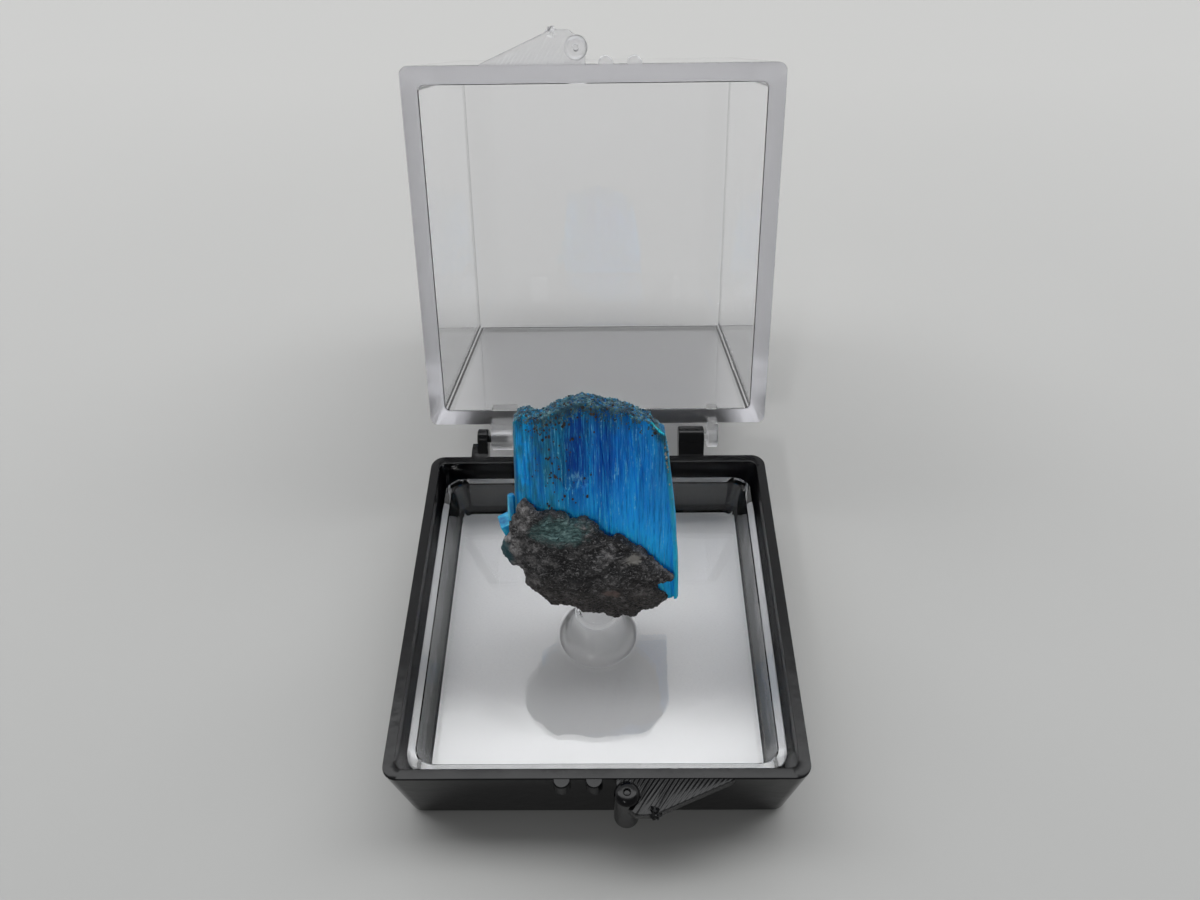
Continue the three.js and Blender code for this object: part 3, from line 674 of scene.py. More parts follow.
HEAD_DROP = [(0, 1.05), (1.5, 0.95), (1.7, 1.9), (3.2, 3.7), (3.4, 3.9), (5.2, 6.8), (5.4, 7.2), (6.8, 9.4)]


def along(line, x):
    """The height of a line of (x, height) points at x."""
    if x <= line[0][0]:
        return line[0][1]
    for (x0, z0), (x1, z1) in zip(line, line[1:]):
        if x <= x1:
            return z0 + (z1 - z0) * (x - x0) / (x1 - x0)
    return line[-1][1]


def fan_x(share, z):
    t = (z - MASS_FOOT) / (MASS_HEAD - MASS_FOOT)
    left = MASS_FOOT_X[0] + (MASS_HEAD_X[0] - MASS_FOOT_X[0]) * t
    right = MASS_FOOT_X[1] + (MASS_HEAD_X[1] - MASS_FOOT_X[1]) * t + MASS_SWELL * 4 * t * (1 - t)
    return left + (right - left) * share


def wave(x, y, seed):
    return noise.noise(Vector((x, y, seed)))


print("fibres lean back", round(math.degrees(FIBRE_LEAN), 1), "degrees")

# %% [markdown]
# ## The blue mass
# Chalcanthite grew here as parallel fibres, packed so tightly that the face reads as one ribbed
# surface. Hundreds of separate fibres would show dark gaps, so the mass is one skin instead: a
# ring with many points is drawn up the fibres level by level, and grooves that run with the height
# are pressed into it. At the crest the fibres end nearly level under their crust, and further back
# they stand at different heights, in broken steps. The last rings close over the top and meet along
# its middle, where doubles are merged and the slit that is left is filled.

# %% Blue mass
FRONT_POINTS = 300
SIDE_POINTS = 70
BACK_POINTS = 150
LEVELS = 84
TOP_LEVELS = 20
MASS_CORNER = 0.35


def ring_places():
    """Around the mass: (share of width, depth, outward normal, distance run)."""
    places = []
    width = MASS_FOOT_X[1] - MASS_FOOT_X[0]
    for i in range(FRONT_POINTS):
        t = i / FRONT_POINTS
        places.append((t, 0.0, (0, -1), t * width))
    for i in range(SIDE_POINTS):
        t = i / SIDE_POINTS
        places.append((1.0, t * MASS_DEPTH, (1, 0), width + t * MASS_DEPTH))
    for i in range(BACK_POINTS):
        t = i / BACK_POINTS
        places.append((1 - t, MASS_DEPTH, (0, 1), width + MASS_DEPTH + t * width))
    for i in range(SIDE_POINTS):
        t = i / SIDE_POINTS
        places.append((0.0, (1 - t) * MASS_DEPTH, (-1, 0), 2 * width + MASS_DEPTH + t * MASS_DEPTH))
    return places


def groove(run, z):
    """How deep the skin is pressed in, in millimetres, at a distance round the mass and a height."""
    drift = 0.12 * wave(run * 0.5, z * 0.12, 3.1)
    run = run + drift
    broad = 0.14 * abs(wave(run * 0.55, z * 0.03, 11.0))
    rib = 0.07 * max(0.0, 1 - 5 * abs(wave(run * 1.5, z * 0.05, 5.0)))
    fibre = 0.035 * max(0.0, 1 - 3.2 * abs(wave(run * 4.6, z * 0.12, 7.0)))
    hair = 0.018 * wave(run * 11, z * 0.5, 9.0)
    return broad + rib + fibre + hair


def recess(x, z):
    """The places where whole fibres broke away from the face."""
    deep = 0.0
    if -2.35 < x < -0.35:
        edge = 13.2 + 0.9 * wave(x * 2.2, 0, 4.0) + 0.35 * (x + 1.3)
        deep += 0.32 * min(1, max(0, (z - edge) / 0.25)) * min(1, max(0, (18.6 - z) / 3))
    if 0.4 < x < 1.2:
        deep += 0.12 * min(1, max(0, (x - 0.4) / 0.15))
    if x > 5.3:
        deep += 0.25 * (x - 5.3) ** 1.5
    return deep


def mass_skin_point(share, depth, normal, run, z):
    x = fan_x(share, z)
    press = groove(run, z)
    if normal[1] < 0:
        press += recess(x, z)
    near_x = min(x - fan_x(0, z), fan_x(1, z) - x)
    near_y = min(depth, MASS_DEPTH - depth)
    if normal[1]:
        gap = max(0.0, MASS_CORNER - near_x)
    else:
        gap = max(0.0, MASS_CORNER - near_y)
    rounded = math.sqrt(max(0.0, MASS_CORNER**2 - gap**2))
    press += MASS_CORNER - rounded if gap < MASS_CORNER else MASS_CORNER
    return x - normal[0] * press, depth - normal[1] * press


def head_height(x, y):
    """Where the fibres end: below the crest, further down the deeper they lie, each a bit different."""
    cell = noise.cell(Vector((x * 1.7 + 0.4 * wave(x, y, 2.0), y * 1.1, 6.0)))
    fine = noise.cell(Vector((x * 4.2, y * 2.7, 8.0)))
    behind = max(0.0, y - 1.5)
    step = (cell - 0.5) * (0.06 + 0.35 * behind) + (fine - 0.5) * (0.05 + 0.2 * min(behind, 1.0))
    return along(CREST, x) - along(HEAD_DROP, y) + step - 0.1 + 0.14 * wave(x * 2.2, y * 2.2, 1.0)


def blue_mass_shape():
    places = ring_places()
    shape = bmesh.new()
    ring = bmesh.ops.create_circle(shape, cap_ends=False, segments=len(places), radius=1)["verts"]
    edges = list({edge for point in ring for edge in point.link_edges})

    def lay(points, level):
        """Puts a ring on the skin, at this share of the way from the foot to the fibre ends."""
        for point, (share, depth, normal, run) in zip(points, places):
            x = fan_x(share, MASS_FOOT)
            foot = along(MASS_START, x) + 0.1
            head = head_height(fan_x(share, MASS_HEAD), depth)
            z = foot + (head - foot) * level
            point.co = (*mass_skin_point(share, depth, normal, run, z), z)

    def inward(points, reach):
        """Draws a ring towards the middle of the mass, over its top."""
        for point, (share, y, *_) in zip(points, places):
            x = fan_x(share, MASS_HEAD)
            middle_y = MASS_DEPTH / 2
            middle_x = min(max(x, MASS_HEAD_X[0] + middle_y), MASS_HEAD_X[1] - middle_y)
            gx = x + (middle_x - x) * reach
            gy = y + (middle_y - y) * reach
            point.co = (gx, gy, head_height(gx, gy))

    def next_ring(source_edges, source):
        """A new ring drawn out of the last one, its points in the same order."""
        made = bmesh.ops.extrude_edge_only(shape, edges=source_edges)["geom"]
        fresh = points_of(made)
        found = [None] * len(source)
        number = {point: i for i, point in enumerate(source)}
        for point in fresh:
            for edge in point.link_edges:
                other = edge.other_vert(point)
                if other in number and found[number[other]] is None:
                    found[number[other]] = point
        return edges_of(made), found

    lay(ring, 0)
    current = ring
    for level in range(1, LEVELS + 1):
        edges, current = next_ring(edges, current)
        lay(current, level / LEVELS)
    for level in range(1, TOP_LEVELS + 1):
        edges, current = next_ring(edges, current)
        inward(current, level / TOP_LEVELS)
    foot = set(ring)
    open_foot = [e for e in shape.edges if e.is_boundary and e.calc_length() < 1 and e.verts[0] in foot]
    bottom = bmesh.ops.holes_fill(shape, edges=open_foot, sides=0)
    bmesh.ops.triangulate(shape, faces=bottom["faces"])
    bmesh.ops.remove_doubles(shape, verts=shape.verts, dist=0.002)
    slit = [edge for edge in shape.edges if edge.is_boundary]
    bmesh.ops.holes_fill(shape, edges=slit, sides=0)
    bmesh.ops.recalc_face_normals(shape, faces=shape.faces)
    bmesh.ops.transform(shape, matrix=SPECIMEN, verts=shape.verts)
    return shape


# %% [markdown]
# ## Blue crystal finish
# The mineral is glassy and deep azure. Bands along the fibres differ: some are clear and dark, some
# cloudy and pale, with white hair-thin streaks between them. The palest beaded streaks are partly
# real streaks and partly painted glints: pale cyan in the colour where the fibres would catch the
# light. The pattern is noise that is stretched along the fibres, in the specimen's own frame, and
# light spreads a little under the surface.

# %% Blue crystal finish
CRYSTAL_IOR = 1.54


def specimen_place(tree):
    """Object coordinates in the specimen's own frame, in millimetres."""
    where = add(tree, "ShaderNodeTexCoord").outputs["Object"]
    sockets = {"Vector": where, "Location": tuple(FACE_FOOT * MM), "Rotation": (-FIBRE_LEAN, 0, 0),
               "Scale": (MM, MM, MM)}
    return add(tree, "ShaderNodeMapping", sockets, vector_type="TEXTURE").outputs[0]


def stretched(tree, place, x, y, z, shift=(0, 0, 0)):
    sockets = {"Vector": place, "Scale": (x, y, z), "Location": shift}
    return add(tree, "ShaderNodeMapping", sockets).outputs[0]


def spot(tree, place, centre, size, ragged, amount=1.0):
    """1 inside a soft ball about centre, 0 outside, its edge broken by noise."""
    offset = add(tree, "ShaderNodeVectorMath", {0: place, 1: centre}, operation="SUBTRACT").outputs[0]
    scaled = add(tree, "ShaderNodeVectorMath", {0: offset, 1: size}, operation="DIVIDE").outputs[0]
    far = add(tree, "ShaderNodeVectorMath", {0: scaled}, operation="LENGTH").outputs["Value"]
    broken = count(tree, "ADD", far, count(tree, "MULTIPLY", ragged, 1.4))
    return span(tree, broken, 1.75, 1.35, 0, amount)


BANDS = [
    (-6.4, (0.012, 0.46, 0.9)), (-4.9, (0.006, 0.36, 0.82)), (-4.3, (0.012, 0.24, 0.52)),
    (-3.2, (0.012, 0.19, 0.36)), (-2.3, (0.008, 0.18, 0.42)), (-1.9, (0.0, 0.055, 0.26)),
    (-0.9, (0.0, 0.06, 0.32)), (-0.4, (0.012, 0.32, 0.75)), (0.2, (0.0, 0.1, 0.46)),
    (1.9, (0.0, 0.15, 0.6)), (2.9, (0.003, 0.28, 0.8)), (4.1, (0.002, 0.23, 0.72)),
    (5.4, (0.014, 0.34, 0.75)),
]


def blue_crystal():
    finish, tree, shader = new_finish("blue_crystal")
    place = specimen_place(tree)
    axes = add(tree, "ShaderNodeSeparateXYZ", {"Vector": place})
    x, z = axes.outputs[0], axes.outputs[2]
    broad = grain(tree, stretched(tree, place, 1.1, 0.5, 0.05), 1.0, 3, 0.6)
    fibres = grain(tree, stretched(tree, place, 4.5, 3.0, 0.14, (3, 1, 0)), 1.0, 5, 0.7)
    hairs = grain(tree, stretched(tree, place, 9.0, 6.0, 0.4, (9, 4, 2)), 1.0, 4, 0.65)
    cloud = grain(tree, stretched(tree, place, 1.3, 1.0, 0.5, (5, 2, 7)), 1.0, 5, 0.65)
    fan = count(tree, "MULTIPLY", count(tree, "ADD", z, -11.0), 0.018)
    straight = count(tree, "ADD", x, count(tree, "MULTIPLY", x, fan))
    sway = count(tree, "MULTIPLY", count(tree, "SUBTRACT", fibres, 0.5), 3.0)
    swayed = count(tree, "ADD", straight, sway)
    colour = ramp(tree, span(tree, swayed, -6.4, 6.4), [((x + 6.4) / 12.8, tone) for x, tone in BANDS])
    deep = span(tree, broad, 0.56, 0.42, 0, 0.55)
    colour = blend(tree, deep, colour, (0.0, 0.055, 0.36))
    low = count(tree, "MULTIPLY", span(tree, z, 15.0, 8.0), span(tree, cloud, 0.25, 0.6, 0.5, 0.95))
    colour = blend(tree, low, colour, (0.02, 0.46, 1.0))
    stain = count(tree, "MULTIPLY", span(tree, x, -1.8, -3.2), span(tree, cloud, 0.45, 0.62, 0, 0.75))
    colour = blend(tree, stain, colour, (0.025, 0.17, 0.22))
    head = count(tree, "MULTIPLY", span(tree, z, 15.5, 18.5), span(tree, cloud, 0.4, 0.65, 0, 0.6))
    colour = blend(tree, head, colour, (0.008, 0.12, 0.24))
    corner = spot(tree, place, (5.2, 1.0, 18.0), (0.9, 3.0, 1.0), cloud, 0.85)
    colour = blend(tree, corner, colour, (0.006, 0.07, 0.12))
    dark = span(tree, hairs, 0.46, 0.36, 0, 0.45)
    colour = blend(tree, dark, colour, (0.0, 0.05, 0.25))
    pale = span(tree, hairs, 0.52, 0.64, 0, 0.45)
    colour = blend(tree, pale, colour, (0.06, 0.5, 0.9))
    # painted highlight: the pale beaded streaks made here are partly real streaks and partly painted glints
    # where fibres catch the light
    threads = grain(tree, stretched(tree, place, 7.0, 5.0, 0.5, (2, 8, 5)), 1.0, 4, 0.6)
    beads = grain(tree, stretched(tree, place, 5.0, 5.0, 4.0), 1.0, 3, 0.6)
    streak_and_painted_glint = span(tree, threads, 0.575, 0.67)
    streak_and_painted_glint = count(tree, "MULTIPLY", streak_and_painted_glint, span(tree, beads, 0.4, 0.6, 0.15, 0.9))
    streak_and_painted_glint = count(tree, "MULTIPLY", streak_and_painted_glint, span(tree, broad, 0.42, 0.58, 0.15, 1.0))
    colour = blend(tree, streak_and_painted_glint, colour, (0.24, 0.72, 0.88))
    frost = spot(tree, place, (-1.35, 0.2, 13.9), (0.9, 1.6, 0.8), cloud)
    ice = grain(tree, stretched(tree, place, 5.5, 5.0, 1.6, (1, 1, 1)), 1.0, 5, 0.7)
    frost = count(tree, "MULTIPLY", frost, span(tree, ice, 0.48, 0.62, 0, 0.6))
    colour = blend(tree, frost, colour, (0.2, 0.55, 0.75))
    tree.links.new(colour, shader.inputs["Base Color"])
    tree.links.new(span(tree, fibres, 0.3, 0.7, 0.3, 0.6), shader.inputs["Roughness"])
    shader.inputs["IOR"].default_value = CRYSTAL_IOR
    shader.inputs["Specular IOR Level"].default_value = 0.15
    shader.inputs["Subsurface Weight"].default_value = 0.8
    shader.inputs["Subsurface Radius"].default_value = (0.05, 0.6, 1.0)
    shader.inputs["Subsurface Scale"].default_value = 0.002
    bump(tree, shader, count(tree, "ADD", fibres, hairs), 0.45, 0.00009)
    return finish


finished("blue_mass", blue_mass_shape(), blue_crystal(), "case", ["chalcanthite"], 50)

# %% [markdown]
# ## Host rock
# The rock is a dark, crumbly lens that the fibres grew on. It starts as the outline that is seen,
# drawn back and forward to two poles. A voxel remesh gives it an even skin, and noise at several
# sizes breaks that skin into lumps, cracks and grit.

# %% Host rock
ROCK_OUTLINE = [
    (6.05, 4.55, -0.5), (5.2, 5.7, -0.45), (4.4, 6.5, -0.45), (2.8, 7.7, -0.4), (1.8, 8.7, -0.4),
    (0.7, 8.9, -0.4), (-0.2, 10.05, -0.4), (-1.8, 10.2, -0.4), (-2.4, 10.9, -0.4),
    (-4.4, 10.95, -0.4), (-4.7, 11.8, -0.4), (-5.35, 12.3, -0.35), (-5.9, 11.0, -0.2),
    (-6.5, 10.6, 0.4), (-6.9, 9.6, 0.9), (-6.9, 8.7, 1.1), (-7.2, 8.2, 1.2), (-7.2, 7.3, 1.3),
    (-6.9, 6.1, 1.5), (-5.8, 5.2, 1.8), (-5.5, 3.4, 2.0), (-4.8, 2.6, 2.1), (-3.9, 1.55, 2.3),
    (-2.2, 1.3, 2.4), (-1.1, 0.9, 2.4), (0.3, 0.4, 2.5), (1.6, -0.1, 2.6), (2.4, 0.35, 2.6),
    (3.15, -0.1, 2.5), (3.95, 0.55, 2.1), (5.3, 2.0, 1.2), (5.65, 2.55, 0.6), (4.5, 3.9, -0.3),
]
ROCK_FRONT = (-0.6, 4.6, -1.6)
ROCK_BACK = (-0.3, 4.9, 6.0)
ROCK_SEAT = PEDESTAL_CROWN - 0.02
LENS_STEPS = (0.2, 0.42, 0.65, 0.84)
SKIN_VOXEL = 0.11


def lens_point(point, pole, share):
    """A point of the outline carried this share of the way to a pole, on a round curve."""
    flat = math.cos(share * math.pi / 2)
    deep = math.sin(share * math.pi / 2)
    x, seen, depth = point
    depth = depth + (pole[2] - depth) * deep
    seen = pole[1] + (seen - pole[1]) * flat
    return Vector((pole[0] + (x - pole[0]) * flat, depth, seen - SIGHT_SLOPE * depth))


def rock_lens():
    shape = bmesh.new()
    for pole in (ROCK_FRONT, ROCK_BACK):
        ring = [shape.verts.new(lens_point(point, pole, 0)) for point in ROCK_OUTLINE]
        edges = [shape.edges.new((a, b)) for a, b in zip(ring, ring[1:] + ring[:1])]
        for share in LENS_STEPS:
            made = bmesh.ops.extrude_edge_only(shape, edges=edges)["geom"]
            fresh = points_of(made)
            for point in fresh:
                others = [edge.other_vert(point) for edge in point.link_edges]
                source = next(other for other in others if other not in fresh)
                index = ring.index(source)
                point.co = lens_point(ROCK_OUTLINE[index], pole, share)
                point.index = index
            ring = sorted(fresh, key=lambda p: p.index)
            edges = edges_of(made)
        bmesh.ops.contextual_create(shape, geom=edges)
    bmesh.ops.remove_doubles(shape, verts=shape.verts, dist=0.001)
    bmesh.ops.recalc_face_normals(shape, faces=shape.faces)
    return shape


def remeshed(shape, voxel):
    mesh = bpy.data.meshes.new("remesh")
    shape.to_mesh(mesh)
    shape.free()
    solid = bpy.data.objects.new("remesh", mesh)
    scene.collection.objects.link(solid)
    skin = solid.modifiers.new("skin", "REMESH")
    skin.mode = "VOXEL"
    skin.voxel_size = voxel
    graph = bpy.context.evaluated_depsgraph_get()
    made = bmesh.new()
    made.from_mesh(solid.evaluated_get(graph).to_mesh())
    bpy.data.meshes.remove(mesh)
    return made


def crack(place):
    """0 in the cracks between cells, rising towards their middles."""
    near = noise.voronoi(place, distance_metric="DISTANCE", exponent=2)[0]
    return near[1] - near[0]


def rock_shape():
    shape = remeshed(rock_lens(), SKIN_VOXEL)
    bmesh.ops.smooth_vert(shape, verts=shape.verts, factor=0.5, use_axis_x=True, use_axis_y=True,
                          use_axis_z=True)
    shape.normal_update()
    moves = []
    for point in shape.verts:
        p = point.co
        lumps = 0.42 * wave(p.x * 0.55, p.z * 0.6 + p.y * 0.4, 21.0)
        chips = 0.55 * min(0.32, crack(Vector((p.x * 0.8, p.y * 0.9, p.z * 1.0)))) - 0.1
        bits = 0.3 * min(0.3, crack(Vector((p.x * 2.3 + 9, p.y * 2.4, p.z * 2.6)))) - 0.05
        grit = 0.09 * noise.fractal(p * 3.2, 1.0, 2.0, 3)
        moves.append(point.normal * (lumps + chips + bits + grit + 0.12))
    for point, move in zip(shape.verts, moves):
        point.co += move
    bmesh.ops.transform(shape, matrix=SPECIMEN, verts=shape.verts)
    for point in shape.verts:
        past_crown = Vector((point.co.x, point.co.y)).length - 1.7
        point.co.z = max(point.co.z, ROCK_SEAT - min(0.6, max(0.0, past_crown)))
    shape.normal_update()
    return shape


# %% [markdown]
# ## Rock finish
# Dark grey to black, crossed by pale fibrous flecks, with a green stain beside the blue mass and a
# few paler and browner spots. Noise that is pulled out of shape by its own distortion gives the
# flecks, and finer noise the grit. The stain and the spots are soft balls placed in the specimen's
# own frame.

# %% Rock finish
def host_rock():
    finish, tree, shader = new_finish("host_rock")
    place = specimen_place(tree)
    coarse = grain(tree, place, 0.9, 5, 0.62)
    fine = grain(tree, stretched(tree, place, 3.2, 2.5, 7.0), 1.0, 4, 0.7)
    grit = grain(tree, place, 9.0, 3, 0.6)
    axes = add(tree, "ShaderNodeSeparateXYZ", {"Vector": place})
    mixed = count(tree, "ADD", count(tree, "MULTIPLY", coarse, 0.72), count(tree, "MULTIPLY", fine, 0.28))
    mixed = count(tree, "ADD", mixed, span(tree, axes.outputs[0], -3.2, -6.0, -0.015, 0.06))
    colour = ramp(tree, mixed, [(0.4, (0.003, 0.003, 0.004)), (0.48, (0.013, 0.013, 0.014)),
                                (0.54, (0.045, 0.044, 0.045)), (0.6, (0.15, 0.145, 0.145)),
                                (0.68, (0.36, 0.35, 0.35))])
    curly = {"Scale": 1.0, "Detail": 5.0, "Roughness": 0.65, "Distortion": 2.2}
    curly["Vector"] = stretched(tree, place, 1.6, 1.6, 3.4, (4, 4, 4))
    threads = add(tree, "ShaderNodeTexNoise", curly)
    fleck = span(tree, threads.outputs["Fac"], 0.54, 0.64, 0, 0.75)
    colour = blend(tree, fleck, colour, (0.26, 0.255, 0.26))
    colour = blend(tree, span(tree, grit, 0.61, 0.7, 0, 0.4), colour, (0.26, 0.255, 0.26))
    low = span(tree, axes.outputs[2], 6.0, 3.0, 0, 0.7)
    brown = count(tree, "MULTIPLY", low, span(tree, fine, 0.4, 0.6))
    colour = blend(tree, brown, colour, (0.125, 0.112, 0.105))
    streaky = {"Scale": 1.0, "Detail": 5.0, "Roughness": 0.7, "Distortion": 1.2}
    streaky["Vector"] = stretched(tree, place, 1.2, 1.2, 4.5, (6, 2, 3))
    felt = add(tree, "ShaderNodeTexNoise", streaky)
    green = ramp(tree, felt.outputs["Fac"], [(0.4, (0.018, 0.045, 0.047)), (0.5, (0.06, 0.135, 0.135)),
                                             (0.62, (0.2, 0.32, 0.31))])
    colour = blend(tree, spot(tree, place, (-2.6, -0.6, 10.0), (2.6, 2.0, 1.3), coarse, 0.9), colour, green)
    colour = blend(tree, spot(tree, place, (2.9, -0.8, 7.2), (0.7, 1.2, 0.5), fine, 0.9), colour,
                   (0.32, 0.31, 0.29))
    colour = blend(tree, spot(tree, place, (1.2, -1.6, 4.0), (0.8, 1.5, 0.45), fine, 0.7), colour,
                   (0.2, 0.14, 0.125))
    colour = blend(tree, spot(tree, place, (-6.9, 0.8, 6.9), (0.8, 1.8, 1.6), coarse, 0.9), colour,
                   (0.01, 0.06, 0.075))
    tree.links.new(colour, shader.inputs["Base Color"])
    tree.links.new(span(tree, fine, 0.3, 0.7, 0.55, 0.95), shader.inputs["Roughness"])
    relief = count(tree, "ADD", count(tree, "MULTIPLY", coarse, 2.0), count(tree, "ADD", fine, grit))
    bump(tree, shader, relief, 0.9, 0.00022)
    return finish


finished("host_rock", rock_shape(), host_rock(), "case", ["matrix"], 40)

# %% [markdown]
# ## Grains
# A crust of small greenish grains covers the crest, with brown specks caught in it and scattered
# down the left of the face, and a thinner, paler crust follows the right edge. Each grain is a rough
# pebble made from a ball of few faces, because there are thousands of them. A seeded generator
# places them, so that the crust is the same each time.

# %% Grain helpers
BATCH = 80


def pebble(shape, centre, size, luck, stretch=(1, 1, 1)):
    made = bmesh.ops.create_icosphere(shape, subdivisions=1, radius=size)["verts"]
    turn = Euler([luck.uniform(0, math.tau) for _ in range(3)]).to_matrix()
    for point in made:
        rough = 1 + luck.uniform(-0.28, 0.22)
        p = turn @ (point.co * rough)
        point.co = Vector((p.x * stretch[0], p.y * stretch[1], p.z * stretch[2])) + Vector(centre)


def strewn(grains, luck):
    """Many pebbles as one shape. They are made in small batches, because a big bmesh grows slowly."""
    shape = bmesh.new()
    for first in range(0, len(grains), BATCH):
        batch = bmesh.new()
        for grain_place in grains[first:first + BATCH]:
            pebble(batch, *grain_place[:2], luck, *grain_place[2:])
        mesh = bpy.data.meshes.new("batch")
        batch.to_mesh(mesh)
        batch.free()
        shape.from_mesh(mesh)
        bpy.data.meshes.remove(mesh)
    bmesh.ops.transform(shape, matrix=SPECIMEN, verts=shape.verts)
    return shape


def face_depth(x, z):
    """The depth of the front face below x and z."""
    share = (x - fan_x(0, z)) / (fan_x(1, z) - fan_x(0, z))
    return mass_skin_point(share, 0.0, (0, -1), share * (MASS_FOOT_X[1] - MASS_FOOT_X[0]), z)[1]


print("face at its middle lies", round(face_depth(0, 12), 2), "mm deep")

# %% [markdown]
# ## Crest crust
# The crest is capped by grains that sit half sunk in the fibre ends, and some have spilled down the
# face. They follow the same height function as the fibre ends, so that none of them floats.

# %% Crest crust
HEAD_GRAINS = 2400
CORNER_GRAINS = 260
SPILT_GRAINS = 700


def crust_shape():
    luck = random.Random(17)
    grains = []
    for _ in range(HEAD_GRAINS):
        x = luck.uniform(MASS_HEAD_X[0] + 0.1, MASS_HEAD_X[1] + 0.5)
        y = luck.uniform(0.08, 1.75) if luck.random() < 0.8 else luck.uniform(1.5, 3.2)
        size = luck.triangular(0.03, 0.16, 0.07)
        grains.append(((x, y, head_height(x, y) + size * luck.uniform(-0.7, 0.1)), size))
    for _ in range(CORNER_GRAINS):
        x = luck.uniform(4.3, 5.25)
        y = luck.uniform(0.08, 2.2)
        size = luck.triangular(0.04, 0.17, 0.08)
        grains.append(((x, y, head_height(x, y) - size * 0.2), size))
    for _ in range(SPILT_GRAINS):
        x = luck.triangular(MASS_HEAD_X[0] + 0.2, MASS_HEAD_X[1] - 0.2, -2.5)
        z = along(CREST, x) - 1.1 - abs(luck.gauss(0, 0.55))
        size = luck.triangular(0.025, 0.12, 0.05)
        grains.append(((x, face_depth(x, z) + size * 0.2, z), size, (1, 0.7, 1.3)))
    return strewn(grains, luck)


def crust_finish():
    finish, tree, shader = new_finish("crust")
    place = specimen_place(tree)
    tones = [(0.34, (0.002, 0.03, 0.07)), (0.5, (0.01, 0.08, 0.125)), (0.68, (0.09, 0.2, 0.22))]
    colour = ramp(tree, grain(tree, place, 1.8, 4), tones)
    tree.links.new(colour, shader.inputs["Base Color"])
    tree.links.new(span(tree, grain(tree, place, 4.0), 0.3, 0.7, 0.25, 0.55), shader.inputs["Roughness"])
    shader.inputs["IOR"].default_value = CRYSTAL_IOR
    shader.inputs["Subsurface Weight"].default_value = 0.2
    shader.inputs["Subsurface Radius"].default_value = (0.3, 0.6, 1.0)
    shader.inputs["Subsurface Scale"].default_value = 0.0004
    return finish


finished("crest_crust", crust_shape(), crust_finish(), "case", (), 0)

# %% [markdown]
# ## Specks
# The brown specks lie on the face in loose trails and in a few clumps, mostly at the left, and some
# are caught in the crust of the crest. Those on the face are longer along the fibres than across,
# because the grooves hold them.

# %% Specks
TRAIL_SPECKS = 80
CLUMP_SPECKS = 22
CLUMPS = [(-2.2, 18.9), (-4.1, 18.3), (-3.7, 17.6), (0.1, 19.6), (4.4, 17.9), (-2.9, 14.3)]
HEAD_SPECKS = 60


def specks_shape():
    luck = random.Random(23)
    grains = []
    for _ in range(TRAIL_SPECKS):
        x = luck.triangular(-5.2, 0.6, -3.4)
        z = luck.uniform(10.8, along(CREST, x) - 0.9)
        size = luck.triangular(0.03, 0.13, 0.045) * (1.4 if z > 17.5 else 1.0)
        grains.append(((x, face_depth(x, z) - size * 0.1, z), size, (1, 0.7, 1.4)))
    for _ in range(CLUMP_SPECKS):
        x, z = luck.choice(CLUMPS)
        x += luck.gauss(0, 0.16)
        z += luck.gauss(0, 0.2)
        size = luck.uniform(0.07, 0.16)
        grains.append(((x, face_depth(x, z), z), size, (1, 0.7, 1.2)))
    for _ in range(HEAD_SPECKS):
        x = luck.uniform(MASS_HEAD_X[0] + 0.3, MASS_HEAD_X[1] - 0.1)
        y = luck.uniform(0.1, 1.5)
        size = luck.uniform(0.05, 0.12)
        grains.append(((x, y, head_height(x, y) + size * 0.4), size))
    return strewn(grains, luck)


def speck_finish():
    finish, tree, shader = new_finish("brown_specks")
    tones = [(0.35, (0.008, 0.007, 0.006)), (0.68, (0.045, 0.036, 0.03))]
    colour = ramp(tree, grain(tree, specimen_place(tree), 2.0), tones)
    tree.links.new(colour, shader.inputs["Base Color"])
    shader.inputs["Roughness"].default_value = 0.6
    return finish


finished("brown_specks", specks_shape(), speck_finish(), "case", (), 0)

# %% [markdown]
# ## Edge crust
# A thin pale crust clings to the right edge of the mass: thick at one place high up, and a few
# grains below it.

# %% Edge crust
EDGE_CLUMP_GRAINS = 150
EDGE_TRAIL_GRAINS = 60


def edge_crust_shape():
    luck = random.Random(31)
    grains = []
    for _ in range(EDGE_CLUMP_GRAINS):
        z = luck.gauss(15.4, 0.75)
        y = luck.uniform(0.05, 0.9)
        x = fan_x(1.0, z) - 0.12 - max(0.0, 0.4 - y) * 0.4
        size = luck.triangular(0.04, 0.15, 0.07)
        grains.append(((x, y, z), size, (0.8, 1, 1.2)))
    for _ in range(EDGE_TRAIL_GRAINS):
        z = luck.uniform(6.0, 14.5)
        size = luck.triangular(0.03, 0.09, 0.05)
        grains.append(((fan_x(1.0, z) - 0.16, luck.uniform(0.1, 1.0), z), size, (0.8, 1, 1.3)))
    return strewn(grains, luck)


def edge_crust_finish():
    finish, tree, shader = new_finish("edge_crust")
    tones = [(0.38, (0.03, 0.06, 0.065)), (0.5, (0.15, 0.17, 0.14)), (0.62, (0.45, 0.46, 0.4))]
    colour = ramp(tree, grain(tree, specimen_place(tree), 2.6, 4), tones)
    tree.links.new(colour, shader.inputs["Base Color"])
    shader.inputs["Roughness"].default_value = 0.6
    return finish


finished("edge_crust", edge_crust_shape(), edge_crust_finish(), "case", (), 0)

# %% [markdown]
# ## Side crystals
# Two small clear-faced crystals stand at the left edge: a sliver beside the mass and a block below
# it. They have flat faces and sharp edges, so they are plain solids with their edges barely eased.

# %% Side crystals
def on_sight(x, seen, depth):
    """The place at this depth that the camera sees at height seen on the front face."""
    return Matrix.Translation((x, depth, seen - SIGHT_SLOPE * depth))


